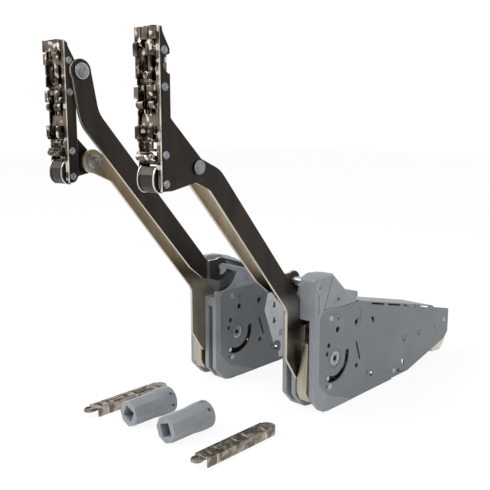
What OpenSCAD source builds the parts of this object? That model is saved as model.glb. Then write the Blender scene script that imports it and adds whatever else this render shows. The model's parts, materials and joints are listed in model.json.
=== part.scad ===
// Lift-up door mechanism: a left-hand and a right-hand unit with raised arms,
// two crossbar adapters and two door plates, standing on one level surface.
// Millimetres. X runs across the cabinet, Y to its back, Z up.
// Profiles are drawn in (y, z) about the lever's axis, and depths run inward
// from the outer face of a unit, so the other hand is a mirror image.

/* [Pair] */
// Clear width between the inner faces of the two housings
pair_gap = 95; // [92:1:140]
// Depth of one housing across the cabinet
unit_w = 40; // [40:0.5:44]
// Height of the lever's axis over the surface that the units stand on
hub_h = 52.7; // [52.7:0.1:54]

/* [Housing plates] */
// Thickness of the steel side plates
plate_t = 1.5; // [1:0.1:1.8]
// Distance from the lever's axis to the front edge of the plates
plate_front = 26; // [24:0.5:27]
// Height of the plates' level top edge over the axis
plate_top = 51; // [50:0.5:53]
// Distance from the axis to the rear end of the plates
plate_rear = 242.7; // [240:0.1:250]
// Height of the top edge where its slope ends
slope_end_h = 16.3; // [15:0.1:20]
// Distance from the axis to the place where the slope ends
slope_end = 200; // [196:0.5:204]
// Radius of the arc slot's middle line
arc_r = 21.6; // [21:0.1:23]
// Length of each slot along the top edge
top_slot_l = 26; // [18:0.5:27]
// Radius of the fixing holes
fix_hole_r = 3.1; // [2.5:0.1:3.3]
// Radius of the plate rivets
plate_rivet_r = 3; // [2:0.1:3.4]

/* [Front covers] */
// Distance from the axis to the covers' front face
cover_front = 33.7; // [33:0.1:35]
// Height of the outer cover's top over the axis
cover_top = 88.4; // [87:0.1:92]
// Thickness of the outer cover's side wall beside the lever slot
cover_wall = 7; // [6:0.1:8]
// Height over the axis at which the lever slot ends
lever_slot_top = 44; // [42:0.5:48]
// Thickness of the inner cover's upper wall
upper_wall = 1.9; // [1.5:0.1:2]
// Radius of the cover screws' heads
cover_screw_r = 2.6; // [2:0.1:3]

/* [Power lever] */
// Width of the lever across the unit
lever_w = 12; // [10:0.5:12]
// Thickness of the lever's sheet
lever_t = 3; // [2.5:0.1:3.5]
// Radius of the lever's hub
lever_hub_r = 12; // [11:0.5:13]
// Smallest radius of the cam that the roller runs on
cam_r0 = 19; // [18:0.5:19]
// Growth of the cam's radius for each radian of turn
cam_gain = 14; // [10:0.5:14]
// Radius of the main axle
axle_r = 6; // [5:0.1:7]
// Radius of the main axle's two flush heads
axle_head_r = 8.4; // [8:0.1:10]
// Radius of the stop pin
stop_r = 2.8; // [2:0.1:3]
// Radius of the studs that join the arm to the lever
stud_r = 2.5; // [2:0.1:3]

/* [Spring pack] */
// Radius of the roller
roller_r = 7.5; // [7:0.1:8]
// Radius of the roller's pin
roller_pin_r = 3; // [2:0.1:3.5]
// Wire diameter of the springs
wire_d = 2.6; // [2:0.1:3]
// Mean radius of the springs
spring_r = 7; // [6.5:0.1:7.5]
// Turns of each spring
spring_turns = 13; // [8:1:15]
// Radius of the guide rods
guide_r = 3; // [2:0.1:3.5]
// Distance from the axis to the front of the spring bridge
bridge_front = 70; // [66:1:74]
// Thickness of the spring bridge
bridge_t = 12; // [10:0.5:14]
// Distance from the axis to the front of the spring seat
seat_front = 197; // [190:1:198]
// Thickness of the spring seat
seat_t = 8; // [6:0.5:9]
// Outer radius of the damper's tube
damper_r = 6; // [5:0.1:7]
// Radius of the damper's rod
damper_rod_r = 2; // [1.5:0.1:2.5]

/* [Arms] */
// Thickness of both arms
arm_t = 3; // [2.5:0.1:3]
// Width of the main arm
main_w = 20; // [18:0.5:22]
// Width of the control arm
control_w = 21; // [18:0.5:22]
// Radius of the main arm's upper end
main_end_r = 11; // [10:0.5:12]
// Radius of the control arm's upper end
control_end_r = 10.5; // [9:0.5:11]
// Radius of the control arm's lower end
control_foot_r = 10; // [9:0.5:10.5]
// Forward reach of the main arm's upper pivot
reach_y = 173.5; // [170:0.5:176]
// Height of the main arm's upper pivot over the axis
reach_z = 197.5; // [195:0.5:200]
// Forward offset of the control arm's pivots from the main arm's
link_y = 24; // [22:0.5:26]
// Height of the control arm's pivots over the main arm's
link_z = 78.5; // [78:0.5:80]
// Radius of the upper pivot pins
pivot_r = 4; // [3:0.1:4.5]
// Radius of the pivot pins' round heads
pivot_head_r = 7; // [6:0.1:7.5]
// Height of the pivot pins' round heads
pivot_head_h = 1.8; // [1.2:0.1:2.5]
// Radius of the control arm's lower axle
control_axle_r = 3.2; // [2.5:0.1:4]

/* [Door bracket] */
// Thickness of the bracket's two side plates
bracket_t = 2.5; // [2:0.1:3]
// Depth of the bracket's outer plate inside the unit's outer face
bracket_s0 = 12; // [11:0.5:13]
// Distance between the bracket's outer faces
bracket_w = 28; // [27:0.5:28]
// Width of the bracket's straight strip, front to back
strip_w = 9.6; // [9:0.1:12]
// Height of the bracket
bracket_h = 120; // [118:0.5:122]
// Radius of the bracket rivets
rivet_r = 2.4; // [2:0.1:2.8]

/* [Carrier] */
// Thickness of the carrier's sheet
carrier_t = 1.5; // [1.2:0.1:1.8]
// Forward reach of the carrier's edges past the bracket's
carrier_lip = 1.5; // [1:0.1:2.5]
// Depth of the carrier's channel behind its edges
carrier_depth = 5; // [4:0.1:5.5]
// Forward reach of the carrier's hooks past its edges
hook_reach = 4.5; // [3:0.1:5]
// Radius of the adjusting screw's head
screw_r = 4.6; // [4:0.1:5]

/* [Crossbar adapters] */
// Length of an adapter
adapter_l = 50; // [48:1:56]
// Radius of an adapter's round end
adapter_r = 13.5; // [13:0.1:14.5]
// Width across the flats of an adapter's socket end
adapter_flat = 23.6; // [22:0.2:24]
// Side of the square socket
socket_a = 12; // [10:0.5:12]
// Depth of the square socket
socket_depth = 20; // [16:1:22]
// Radius of the bore that takes the crossbar
crossbar_r = 8; // [6:0.1:9]
// Depth of the crossbar's bore
crossbar_depth = 24; // [18:1:25]
// Radius of the clamp screws' holes
adapter_hole_r = 1.5; // [1:0.1:2]

/* [Door plates] */
// Length of a door plate's channel
door_plate_l = 84; // [80:1:90]
// Width of a door plate
door_plate_w = 16; // [15:0.5:17]
// Height of a door plate
door_plate_h = 8.5; // [8:0.1:10]
// Thickness of a door plate's sheet
door_plate_t = 1.5; // [1.2:0.1:2]
// Radius of a door plate's screw holes
door_hole_r = 2.4; // [2:0.1:2.6]
// Spacing of a door plate's two screw holes
door_hole_gap = 32; // [24:1:32]

/* [Clearances] */
// Radial clearance of everything that turns or slides on a pin
run = 0.05; // [0.02:0.01:0.1]
// Radial clearance of fixed pins in their seats
seat = 0.02; // [0.01:0.01:0.05]
// Clearance beside parts that move past each other
side = 0.5; // [0.4:0.05:0.6]

/* [Hidden] */

// Finishes
housing_grey = "#84898c";
plate_grey = "#6b7072";
nickel = "#6b665c";
dark_nickel = "#2b2724";
zinc = "#b9bcbd";
steel = "#9a9a98";
cream = "#e4dfcb";

// Segments of large and small circles, and the angle between an arc's points
big_fn = 72;
small_fn = 32;
arc_step = 7.5;
// Overshoot of a cut past the face that it opens
cut = 1;

// Depths inside the outer face
x_out = pair_gap / 2 + unit_w;
lever_s0 = cover_wall + side;
lever_s1 = lever_s0 + lever_w;
arm_s0 = lever_s1;
arm_s1 = arm_s0 + arm_t;
rib_s = arm_s1 + side;
inner_face = unit_w - plate_t;
block_s1 = arm_s0 - side;
bracket_s1 = bracket_s0 + bracket_w;
carrier_s0 = bracket_s0 + bracket_t;
carrier_s1 = bracket_s1 - bracket_t;
control_s0 = max(unit_w, bracket_s1) + side;
control_s1 = control_s0 + arm_t;
upper_wall_s = unit_w - upper_wall;
foot_s1 = upper_wall_s - side / 2;
foot_s0 = foot_s1 - arm_t;

// Pivots in the side view
hub = [0, 0];
main_top = [-reach_y, reach_z];
control_low = [-link_y, link_z];
control_top = main_top + control_low;
stop_angle = -120;
stop_at = arc_r * [cos(stop_angle), sin(stop_angle)];
swing = 115;

// Front and bottom edges of the bracket
strip_front = control_top[0] - 13.5;
strip_back = strip_front + strip_w;
bracket_low = main_top[1] - 16.9;
bracket_high = bracket_low + bracket_h;
edge_y = strip_front - carrier_lip;
rivet_y = strip_front + 3.9;
rivet_z = [for (share = [0.047, 0.23, 0.647, 0.867]) bracket_low + share * bracket_h];

// The bounding box's middle lies over the origin
front_most = edge_y - hook_reach;
hub_y = -(front_most + plate_rear) / 2;

// Unit vector along v
function unit_v(v) = v / norm(v);

// Points of the arc of radius r that rounds the corner b between a and c
function corner(a, b, c, r) =
  let (
    u = unit_v(a - b),
    w = unit_v(c - b),
    half = acos(u * w) / 2,
    mid = b + unit_v(u + w) * r / sin(half),
    p = b + u * r / tan(half) - mid,
    q = b + w * r / tan(half) - mid,
    a0 = atan2(p[1], p[0]),
    raw = atan2(q[1], q[0]) - a0,
    turn = raw > 180 ? raw - 360 : raw < -180 ? raw + 360 : raw,
    n = max(2, ceil(abs(turn) / arc_step))
  )
  [for (i = [0:n]) mid + r * [cos(a0 + turn * i / n), sin(a0 + turn * i / n)]];

// Twice the area inside a list of points, negative when they run clockwise
function turning(pts) =
  let (n = len(pts), areas = [for (i = [0:n - 1]) pts[i][0] * pts[(i + 1) % n][1] - pts[(i + 1) % n][0] * pts[i][1]])
  areas * [for (a = areas) 1];

// Outline from corners [y, z, radius]; a radius of 0 keeps the corner sharp
function rounded(given) =
  let (
    n = len(given),
    pts = turning(given) < 0 ? [for (i = [n - 1:-1:0]) given[i]] : given
  )
  [for (i = [0:n - 1])
    let (a = pts[(i + n - 1) % n], b = pts[i], c = pts[(i + 1) % n])
    each b[2] > 0
      ? corner([a[0], a[1]], [b[0], b[1]], [c[0], c[1]], b[2])
      : [[b[0], b[1]]]];

// Place of one unit: side 1 is the right-hand unit, -1 the left-hand one
module unit(hand) {
  translate([0, hub_y, hub_h])
    mirror([hand < 0 ? 1 : 0, 0, 0])
      children();
}

// A profile in (y, z) extruded between two depths inside the outer face
module slab(s0, s1) {
  translate([x_out - s1, 0, 0])
    rotate([90, 0, 90])
      linear_extrude(s1 - s0)
        children();
}

// A round bar across the unit
module bar(at, r, s0, s1, fn = small_fn) {
  slab(s0, s1) translate(at) circle(r, $fn = fn);
}

// Points of an arc of radius r about c, from angle a0 to a1
function arc(c, r, a0, a1, n = 12) = [for (i = [0:n]) c + r * [cos(a0 + (a1 - a0) * i / n), sin(a0 + (a1 - a0) * i / n)]];

// A slot of width w between two points
module slot2d(a, b, w) {
  turn = atan2(b[1] - a[1], b[0] - a[0]);
  polygon(concat(arc(b, w / 2, turn - 90, turn + 90), arc(a, w / 2, turn + 90, turn + 270)));
}

// A slot of width w along an arc about the axis
module arc_slot2d(r, w, a0, a1) {
  start = r * [cos(a0), sin(a0)];
  stop = r * [cos(a1), sin(a1)];
  polygon(concat(
    arc([0, 0], r + w / 2, a0 + 1, a1 - 1, 24), arc(stop, w / 2, a1, a1 + 180),
    arc([0, 0], r - w / 2, a1 - 1, a0 + 1, 24), arc(start, w / 2, a0 + 180, a0 + 360)));
}

// Side plates

slope_start = [44, plate_top];
slope_stop = [slope_end, slope_end_h];
slope_dir = unit_v(slope_stop - slope_start);
slope_turn = atan2(slope_dir[1], slope_dir[0]);
rear_top = slope_end_h - 12.1;
rear_low = -25;
step_y = 111;
base_z = -hub_h;
base_step = 1.4;
plate_outline = rounded([
  [-plate_front, plate_top, 8], [slope_start[0], slope_start[1], 6],
  [slope_stop[0], slope_stop[1], 0], [slope_stop[0] + 5, slope_end_h - 3.4, 0],
  [plate_rear, rear_top, 1.5], [plate_rear, rear_low, 3], [plate_rear - 8, rear_low - 7, 3],
  [147, base_z + base_step, 2], [step_y, base_z + base_step, 0], [step_y, base_z, 0],
  [34, base_z, 3], [-12, -35.5, 12], [-plate_front, -21, 10]]);

// Round holes of a side plate: [y, z, radius]
plate_holes = [
  [4, 29, fix_hole_r], [5, 40, 1.3], [-10.4, 15.4, 2.6], [-13, 7, 2.3], [39.4, -17.8, 2.6],
  [60, -31.2, 1.2], [69, -34.3, fix_hole_r], [-13, -26.2, 1.5], [125.5, -46, 2],
  [208.5, -11.5, 1], [222, -13.5, 1], [40.9, 32.6, 1.2], [37, 26.4, 1]];
rivet_points = [[-7, 42.5], [-7, -28], [115.4, -43.5], [232, -8]];
emboss_low = [37.8, 30.4];
emboss_high = [38.4, 38.2];
emboss_r = 7.2;
emboss_depth = 0.5;

module u_cut2d(at, r, w) {
  outer = r + w / 2;
  inner = r - w / 2;
  translate(at)
    polygon(concat([[outer, 1.2 * r]], arc([0, 0], outer, 0, -180), [[-outer, 1.2 * r], [-inner, 1.2 * r]],
      arc([0, 0], inner, 180, 360), [[inner, 1.2 * r]]));
}

module plate2d() {
  lance = [[0, 0], [6.6, -2.6], [6.4, -9.4], [2.4, -5.5]];
  difference() {
    polygon(plate_outline);
    circle(axle_head_r + run, $fn = big_fn);
    arc_slot2d(arc_r, 2 * stop_r + 0.9, stop_angle - 3, stop_angle + swing + 9);
    for (h = plate_holes) translate([h[0], h[1]]) circle(h[2], $fn = small_fn);
    for (p = rivet_points) translate(p) circle(plate_rivet_r + seat, $fn = small_fn);
    slot2d([38.2, 7.6], [45, -11], 2.6);
    for (p = [[64.5, 30.2], [130.8, -33.8]]) translate(p) polygon(lance);
    u_cut2d([136.5, -10], 3.4, 1.1);
    u_cut2d([170, -10.5], 3, 0.9);
    for (i = [0:3])
      translate(slope_start + slope_dir * (35 + 34.6 * i))
        rotate(slope_turn)
          translate([-top_slot_l / 2, -3])
            square([top_slot_l, 1.9]);
  }
}

// A stadium pressed into the plate from the face at depth s0
module emboss(s0, s1) {
  slab(s0, s1) slot2d(emboss_low, emboss_high, 2 * emboss_r);
}

// Flange between two points, turned in by the plate's thickness on its right
module flange(a, b) {
  inward = plate_t * [unit_v(b - a)[1], -unit_v(b - a)[0]];
  slab(plate_t, inner_face) polygon([a, b, b + inward, a + inward]);
}

module side_tray() {
  color(plate_grey) {
    difference() {
      slab(0, plate_t) plate2d();
      emboss(-cut, emboss_depth);
      bar([emboss_low[0], emboss_low[1] - 0.6], 2.8, -cut, plate_t + cut);
    }
    flange(slope_start + 4 * slope_dir, slope_stop - 3 * slope_dir);
    flange([step_y - 3, base_z], [38, base_z]);
    flange([143, base_z + base_step], [step_y + 4, base_z + base_step]);
  }
}

module inner_plate() {
  color(plate_grey)
    difference() {
      slab(inner_face, unit_w) plate2d();
      emboss(unit_w - emboss_depth, unit_w + cut);
      bar([emboss_low[0], emboss_low[1] - 0.6], 2.8, inner_face - cut, unit_w + cut);
    }
}

// Rivets through both plates, with a collar between them
module plate_rivets() {
  color(zinc)
    for (hand = [1, -1])
      unit(hand)
        for (p = rivet_points) {
          shank_s1 = p[0] < 0 ? cover_wall - 1 : inner_face;
          bar(p, plate_rivet_r, 0.1, shank_s1);
          if (p[0] < 0)
            bar(p, plate_rivet_r, rib_s + 6, unit_w - 0.1);
          else {
            bar(p, plate_rivet_r, inner_face, unit_w - 0.1);
            bar(p, plate_rivet_r + 1.2, plate_t + 0.1, inner_face - 0.1);
          }
        }
}

// Front covers

well_r = arc_r + stop_r + 2;
seam_z = plate_top;
low_corner = [-cover_front, -36, 5];
cover_low = [low_corner, [-19, base_z + 1.4, 5], [-10, base_z, 2], [36, base_z, 0]];
// Upper edge of the outer cover, from the rear to the front
ridge = [-5.6, cover_top - 5];
panel_upper = [
  [36.8, seam_z - 6, 0], [36.8, cover_top - 25.7, 1], [24, cover_top - 22.8, 1],
  [16.6, cover_top - 21.5, 1], [1, cover_top - 7.6, 1], [ridge[0], ridge[1], 3],
  [-24, cover_top - 3.4, 20], [-cover_front, cover_top - 3, 6]];
outer_cover_outline = rounded(concat(
  cover_low, [[36, -44, 0], [0, -34, 4], [-14, 0, 0], [-14, 40, 4]], panel_upper));
// Dome over the middle of the unit
dome_upper = [[34, cover_top - 25, 2], [26, cover_top - 14, 3], [18.5, cover_top - 9.3, 8],
              [6.5, cover_top - 3.8, 20], [-7, cover_top - 1.4, 20], [-22, cover_top + 0.2, 12],
              [-cover_front, cover_top - 3, 6]];
inner_upper_front = 25.6;
inner_top = cover_top - 3.9;
inner_cover_outline = rounded(concat(
  cover_low,
  [[36, -44, 0], [0, -34, 4], [-16, 0, 0], [-16, 46, 4], [36.8, seam_z - 6, 0],
   [36.8, cover_top - 25.7, 1], [18, inner_top - 12, 2], [0, inner_top - 4, 10],
   [-19, inner_top, 3], [-inner_upper_front, inner_top - 4, 3],
   [-inner_upper_front, 60, 0], [-cover_front, 57, 2]]));
groove_top = ridge + [-0.6, 0.2];
groove_low = [-18.6, seam_z + 2.6];
screw_at = [-27.2, cover_top - 11.8];

// Everything above the plane through a point, square to n = [inward x, y, z]
module over_plane(at, n) {
  translate(at)
    rotate([0, acos(n[2] / norm(n)), atan2(n[1], n[0])])
      translate([-80, -80, 0]) cube([160, 160, 60]);
}

module outer_cover() {
  color(housing_grey)
    difference() {
      intersection() {
        union() {
          slab(0, cover_wall) polygon(outer_cover_outline);
          // Top block over the lever slot
          slab(cover_wall, block_s1)
            intersection() {
              polygon(outer_cover_outline);
              translate([-cover_front - cut, lever_slot_top]) square([40 + cover_front, cover_top]);
            }
          // Dome over the block, sloping down to the side panel's slanted edge
          difference() {
            slab(0.8, block_s1) polygon(rounded(concat(dome_upper, [[-cover_front, seam_z, 0], [34, seam_z, 0]])));
            over_plane([x_out, 1, cover_top - 7.8], [0.88, 0.89, 1]);
          }
        }
        // Crowned top, falling towards the outer face
        front_slab(-cover_front - cut, 40)
          polygon([[-cut, base_z - cut], [20, base_z - cut], [20, cover_top + 0.4], [16, cover_top],
                   [11, cover_top - 0.7], [6, cover_top - 1.7], [2.6, cover_top - 2.7], [-cut, cover_top - 4.4]]);
      }
      // Seat of the side tray, and the well round the lever's hub
      slab(-cut, plate_t) polygon(plate_outline);
      bar(hub, well_r, plate_t, cover_wall + cut, big_fn);
      // Hollow behind the side plate and the triangular panel
      slab(cover_wall - 2, block_s1 + cut)
        polygon([[-8, lever_slot_top - cut], [40, lever_slot_top - cut], [40, cover_top - 28.5],
                 [16, cover_top - 25], [0, cover_top - 12.5]]);
      // Panel behind the slanted groove, then the groove and its slot
      slab(-cut, 0.9)
        polygon([groove_top + [0, 3], groove_low, [40, groove_low[1] - 6], [40, cover_top]]);
      slab(-cut, 1.6) slot2d(groove_top + [0.6, 1.5], groove_low, 3);
      slab(-cut, 4.5) slot2d([-8, ridge[1] - 1.6], [-10, ridge[1] - 6.6], 2.2);
      // Groove along the front edge
      slab(-cut, 1) slot2d([-28.4, cover_top - 20], [-28.4, seam_z + 1], 2.6);
      bar([6, cover_top - 28.5], 1.7, -cut, 4);
      bar(screw_at, cover_screw_r + seat, -cut, 9);
      bar(control_low, control_axle_r + seat, block_s1 - 9, block_s1 + cut);
      for (p = [rivet_points[0], rivet_points[1]])
        bar(p, plate_rivet_r + seat, plate_t - cut, cover_wall - 1);
    }
}

pocket_in = 8.5;
pocket_out = 27.5;
foot_lobe = 16.6;
roof_y = -6;
module inner_cover() {
  groove_s0 = rib_s + 5.3;
  groove_s1 = groove_s0 + 6.3;
  color(housing_grey)
    difference() {
      union() {
        // Lower block beside the arm slot
        slab(rib_s, unit_w)
          intersection() {
            polygon(inner_cover_outline);
            translate([-cover_front - cut, base_z - cut]) square([100, -base_z + 45 + cut]);
          }
        difference() {
          union() {
            // Upper wall outside the control arm's foot
            slab(upper_wall_s, unit_w)
              intersection() {
                polygon(inner_cover_outline);
                translate([-cover_front - cut, 44]) square([100, cover_top]);
              }
            // Inner half of the dome, behind the control arm's foot
            slab(block_s1 + 0.2, upper_wall_s)
              polygon(rounded([
                [roof_y, cover_top - 1.8, 0], [6.5, cover_top - 3.8, 20], [18.5, cover_top - 9.3, 8],
                [26, cover_top - 14, 3], [34, cover_top - 25, 2], [36.8, cover_top - 25.7, 0], [36.8, seam_z, 0],
                [34.8, seam_z, 0], [34.8, cover_top - 28, 0], [32, cover_top - 27, 0], [24, cover_top - 16, 0],
                [17, cover_top - 12, 0], [roof_y, cover_top - 4.5, 0]]));
          }
          over_plane([x_out - unit_w, 0, cover_top - 13.4], [-0.535, 0.3, 1]);
        }
      }
      slab(inner_face, unit_w + cut) polygon(plate_outline);
      bar(hub, well_r, rib_s - cut, inner_face, big_fn);
      // Slot beside the outer wall, open to the front
      slab(groove_s0, groove_s1)
        translate([-cover_front - cut, base_z - cut]) square([12, -base_z + 35 + cut]);
      // Room that the control arm's foot sweeps
      translate([0, control_low[0], control_low[1]])
        slab(foot_s0 - side, unit_w + cut)
          difference() {
            intersection() {
              circle(pocket_out, $fn = big_fn);
              polygon([[0, 0], [-30, 60], [-60, 0], [-30, -60], [24, -60], [40, -15]]);
            }
            circle(pocket_in, $fn = small_fn);
          }
      bar(control_low, foot_lobe + side + 0.5, foot_s0 - side, upper_wall_s, big_fn);
      bar(control_low, control_axle_r + seat, upper_wall_s - cut, unit_w - 0.6);
      for (p = [rivet_points[0], rivet_points[1]])
        bar(p, plate_rivet_r + seat, rib_s + 6, unit_w + cut);
      // Recess of the upper wall, with its hole
      slab(unit_w - 0.8, unit_w + cut)
        polygon(rounded([[-10.8, cover_top - 12.7, 0.6], [14.3, cover_top - 20.4, 1.5],
                         [18, cover_top - 32, 1.5], [-4, cover_top - 31, 1.5], [-9.5, cover_top - 24, 1.5]]));
      bar([-5.6, cover_top - 20], 2.4, upper_wall_s - cut, unit_w + cut);
    }
}

// Cream end cap between the plates' rear ends
module rear_caps() {
  color(cream)
    for (hand = [1, -1])
      unit(hand)
        slab(plate_t + 0.2, inner_face - 0.2)
          difference() {
            polygon(rounded([[plate_rear - 36.7, rear_low + 11, 0], [plate_rear - 36.7, rear_low - 19, 2],
                             [plate_rear - 16.7, rear_low - 21, 4], [plate_rear - 4.2, rear_low - 12, 2],
                             [plate_rear - 4.2, rear_low + 11, 1]]));
            for (y = [30.2, 20.2]) translate([plate_rear - y, rear_low]) square([7, 9]);
          }
}

// Power lever

// Centre of the roller on the cam's pitch curve, a degrees round from the rear
function pitch_r(a) = cam_r0 + roller_r + side / 3 + cam_gain * a * PI / 180;
function cam_point(a) =
  let (
    u = [cos(a), -sin(a)],
    w = [-sin(a), -cos(a)],
    out = unit_v(pitch_r(a) * u - cam_gain * w)
  )
  pitch_r(a) * u - (roller_r + side / 3) * out;
cam_start = -24;
cam_end = 126;
function cam_curve(inset) =
  [for (a = [cam_start:6:cam_end]) let (p = cam_point(a)) p - inset * unit_v(p)];
nose_y = -cover_front - 2.8;
web_top = 21;
tooth_pitch = 3.3;

module lever2d(inset = 0) {
  polygon(concat(
    cam_curve(inset),
    [[nose_y + inset, -29], [nose_y + inset, -14], [nose_y + inset + 1, web_top - 2 * inset],
     [-22, web_top - inset], [4, lever_hub_r - inset / 3], [lever_hub_r, 7]]));
}

module power_lever() {
  color(nickel)
    difference() {
      union() {
        // Outer cheek, inner cheek with the arm's seat, and the hub
        slab(lever_s0, lever_s0 + lever_t) lever2d();
        slab(lever_s1 - lever_t, lever_s1)
          intersection() {
            union() {
              lever2d();
              polygon(rounded([[-29, 10, 0], [-29, 38, 3], [-16, 38, 3], [-8, 8, 0]]));
            }
            translate([-cover_front + 1, -60]) square([120, 120]);
          }
        bar(hub, lever_hub_r, lever_s0, lever_s1, big_fn);
        // Curved web that the roller runs on, and the front of the lever
        slab(lever_s0, lever_s1)
          difference() {
            lever2d();
            lever2d(lever_t);
            translate([-24, -8]) square([60, 60]);
          }
      }
      // Slanted upper edge of the front web
      translate([x_out - lever_s1, nose_y - cut, -14])
        rotate([90, 0, 0])
          translate([0, 0, -lever_t - 4])
            linear_extrude(lever_t + 4 + cut)
              polygon([[-cut, 0], [0, 0], [lever_w - lever_t, 35], [lever_w - lever_t, 50], [-cut, 50]]);
      // Teeth along that edge
      for (i = [0:8])
        translate([x_out - lever_s1 + (lever_w - lever_t) * (i + 0.5) / 9.5, nose_y - cut, -14 + 35 * (i + 0.5) / 9.5])
          rotate([0, 45, 0])
            cube([1.5, 2 * lever_t, 1.5], center = true);
      bar(hub, axle_r + seat, lever_s0 - cut, lever_s1 + cut, big_fn);
      bar(stop_at, stop_r + seat, lever_s0 - cut, lever_s1 + cut);
      for (p = stud_at) bar(p, stud_r + seat, lever_s1 - lever_t - cut, lever_s1 + cut);
      slab(lever_s0 - cut, lever_s1 + cut) slot2d([10, -26], [-2, -32], 7);
    }
}

stud_at = [[-22, -8], [-22, 31]];

module main_axle() {
  color(zinc)
    difference() {
      union() {
        bar(hub, axle_r, 0.3, unit_w - 0.3, big_fn);
        bar(hub, axle_head_r, 0.3, plate_t + 1, big_fn);
        bar(hub, axle_head_r, inner_face - 1, unit_w - 0.3, big_fn);
        bar(hub, axle_r + 2, lever_s1 + arm_t + side, inner_face - 1, big_fn);
        bar(hub, axle_r + 2, plate_t + 1, lever_s0 - 0.1, big_fn);
      }
      // Hexagonal key socket and the ring pressed round it
      for (s = [[-cut, 5], [unit_w - 5, unit_w + cut]]) slab(s[0], s[1]) circle(2.9, $fn = 6);
      for (s = [[-cut, 0.8], [unit_w - 0.8, unit_w + cut]])
        slab(s[0], s[1])
          difference() {
            circle(axle_head_r - 1.6, $fn = big_fn);
            circle(axle_head_r - 3, $fn = big_fn);
          }
    }
}

// Stop pin in the plates' arc slots, and the two studs in the arm's foot
module lever_pins() {
  color(zinc) {
    bar(stop_at, stop_r, 0.3, unit_w - 0.3);
    for (p = stud_at) bar(p, stud_r, lever_s1 - lever_t, arm_s1);
  }
}

// Spring pack

roller_at = [pitch_r(0), 0];
fork_s0 = 3.2;
fork_t = 3;
fork_s1 = rib_s + 0.8;
spring_s = [lever_s0 + 3.7, inner_face - 10];
bridge_back = bridge_front + bridge_t;
spring_gap = 0.3;
damper_z = -27;
damper_s = unit_w / 2;
damper_front = bridge_back + 30;
damper_l = 66;

module spring_bridge() {
  color(steel)
    difference() {
      union() {
        slab(plate_t + 0.3, inner_face - 0.3)
          polygon([[bridge_front, -33], [bridge_back, -33], [bridge_back, 22], [bridge_front, 22]]);
        for (s = [fork_s0, fork_s1])
          slab(s, s + fork_t)
            polygon([[roller_at[0] - 8, -4], [roller_at[0] - 4, -8], [bridge_front + 1, -11], [bridge_front + 1, 11], [roller_at[0] - 4, 8], [roller_at[0] - 8, 4]]);
      }
      bar(roller_at, roller_pin_r + seat, fork_s0 - cut, fork_s1 + fork_t + cut);
      for (s = spring_s) along_y(s, 0, guide_r + seat, bridge_back - 8, bridge_back + cut);
      along_y(damper_s, damper_z, damper_rod_r + seat, bridge_back - 6, bridge_back + cut);
    }
}

// A round bar along Y at depth s and height z
module along_y(s, z, r, y0, y1, fn = small_fn) {
  translate([x_out - s, y0, z]) rotate([-90, 0, 0]) cylinder(h = y1 - y0, r = r, $fn = fn);
}

module roller() {
  color(zinc)
    difference() {
      bar(roller_at, roller_r, lever_s0 + 0.2, lever_s1 - 0.2, big_fn);
      bar(roller_at, roller_pin_r + run, lever_s0 - cut, lever_s1 + cut);
    }
}

module roller_pin() {
  color(steel) bar(roller_at, roller_pin_r, fork_s0 - 0.4, fork_s1 + fork_t + 0.4);
}

module guide_rods() {
  color(steel)
    for (s = spring_s) along_y(s, 0, guide_r, bridge_back - 8, seat_front + seat_t + 2);
}

module spring_seat() {
  color(steel)
    difference() {
      slab(plate_t, inner_face)
        polygon(rounded([[seat_front, -30, 1], [seat_front + seat_t, -30, 1], [seat_front + seat_t, 11, 1], [seat_front, 11, 1]]));
      for (s = spring_s) along_y(s, 0, guide_r + run, seat_front - cut, seat_front + seat_t + cut);
    }
}

spring_steps = 8;
wire_sides = 6;
coil_y0 = bridge_back + wire_d / 2 + spring_gap;
coil_y1 = seat_front - wire_d / 2 - spring_gap;
coil_rise = coil_y1 - coil_y0;
// Share of the rise reached at turn t, with flat end turns
function coil_share(t) = max(0, min(1, (t - 1) / (spring_turns - 2)));
function coil_y(t) =
  t < 1 ? coil_y0 + t * wire_d * 0.62
  : t > spring_turns - 1 ? coil_y1 - (spring_turns - t) * wire_d * 0.62
  : coil_y0 + wire_d * 0.62 + coil_share(t) * (coil_rise - 1.24 * wire_d);
coil_points = [for (i = [0:spring_turns * spring_steps])
  let (t = i / spring_steps, a = 360 * t) [spring_r * cos(a), coil_y(t), spring_r * sin(a)]];
// Ring of the wire's section at point i, square to the winding
function wire_ring(i) =
  let (a = 360 * i / spring_steps, out = [cos(a), 0, sin(a)])
  [for (k = [0:wire_sides - 1])
    coil_points[i] + wire_d / 2 * (cos(360 * k / wire_sides) * out + sin(360 * k / wire_sides) * [0, 1, 0])];
module coil() {
  rings = len(coil_points);
  polyhedron(
    points = [for (i = [0:rings - 1]) each wire_ring(i)],
    faces = concat(
      [[for (k = [0:wire_sides - 1]) k]],
      [[for (k = [wire_sides - 1:-1:0]) (rings - 1) * wire_sides + k]],
      [for (i = [0:rings - 2], k = [0:wire_sides - 1], half = [0, 1])
        let (
          a = i * wire_sides + k,
          b = i * wire_sides + (k + 1) % wire_sides,
          c = a + wire_sides,
          d = b + wire_sides
        )
        half == 0 ? [a, c, b] : [b, c, d]]));
}
// Least gap between neighbouring turns, measured on the coil's points
coil_gap = min([for (i = [0:len(coil_points) - 1 - spring_steps]) norm(coil_points[i + spring_steps] - coil_points[i])]) - wire_d;
echo(least_gap_between_spring_turns_mm = coil_gap);

module springs() {
  color(steel)
    for (s = spring_s) translate([x_out - s, 0, 0]) coil();
}

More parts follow.
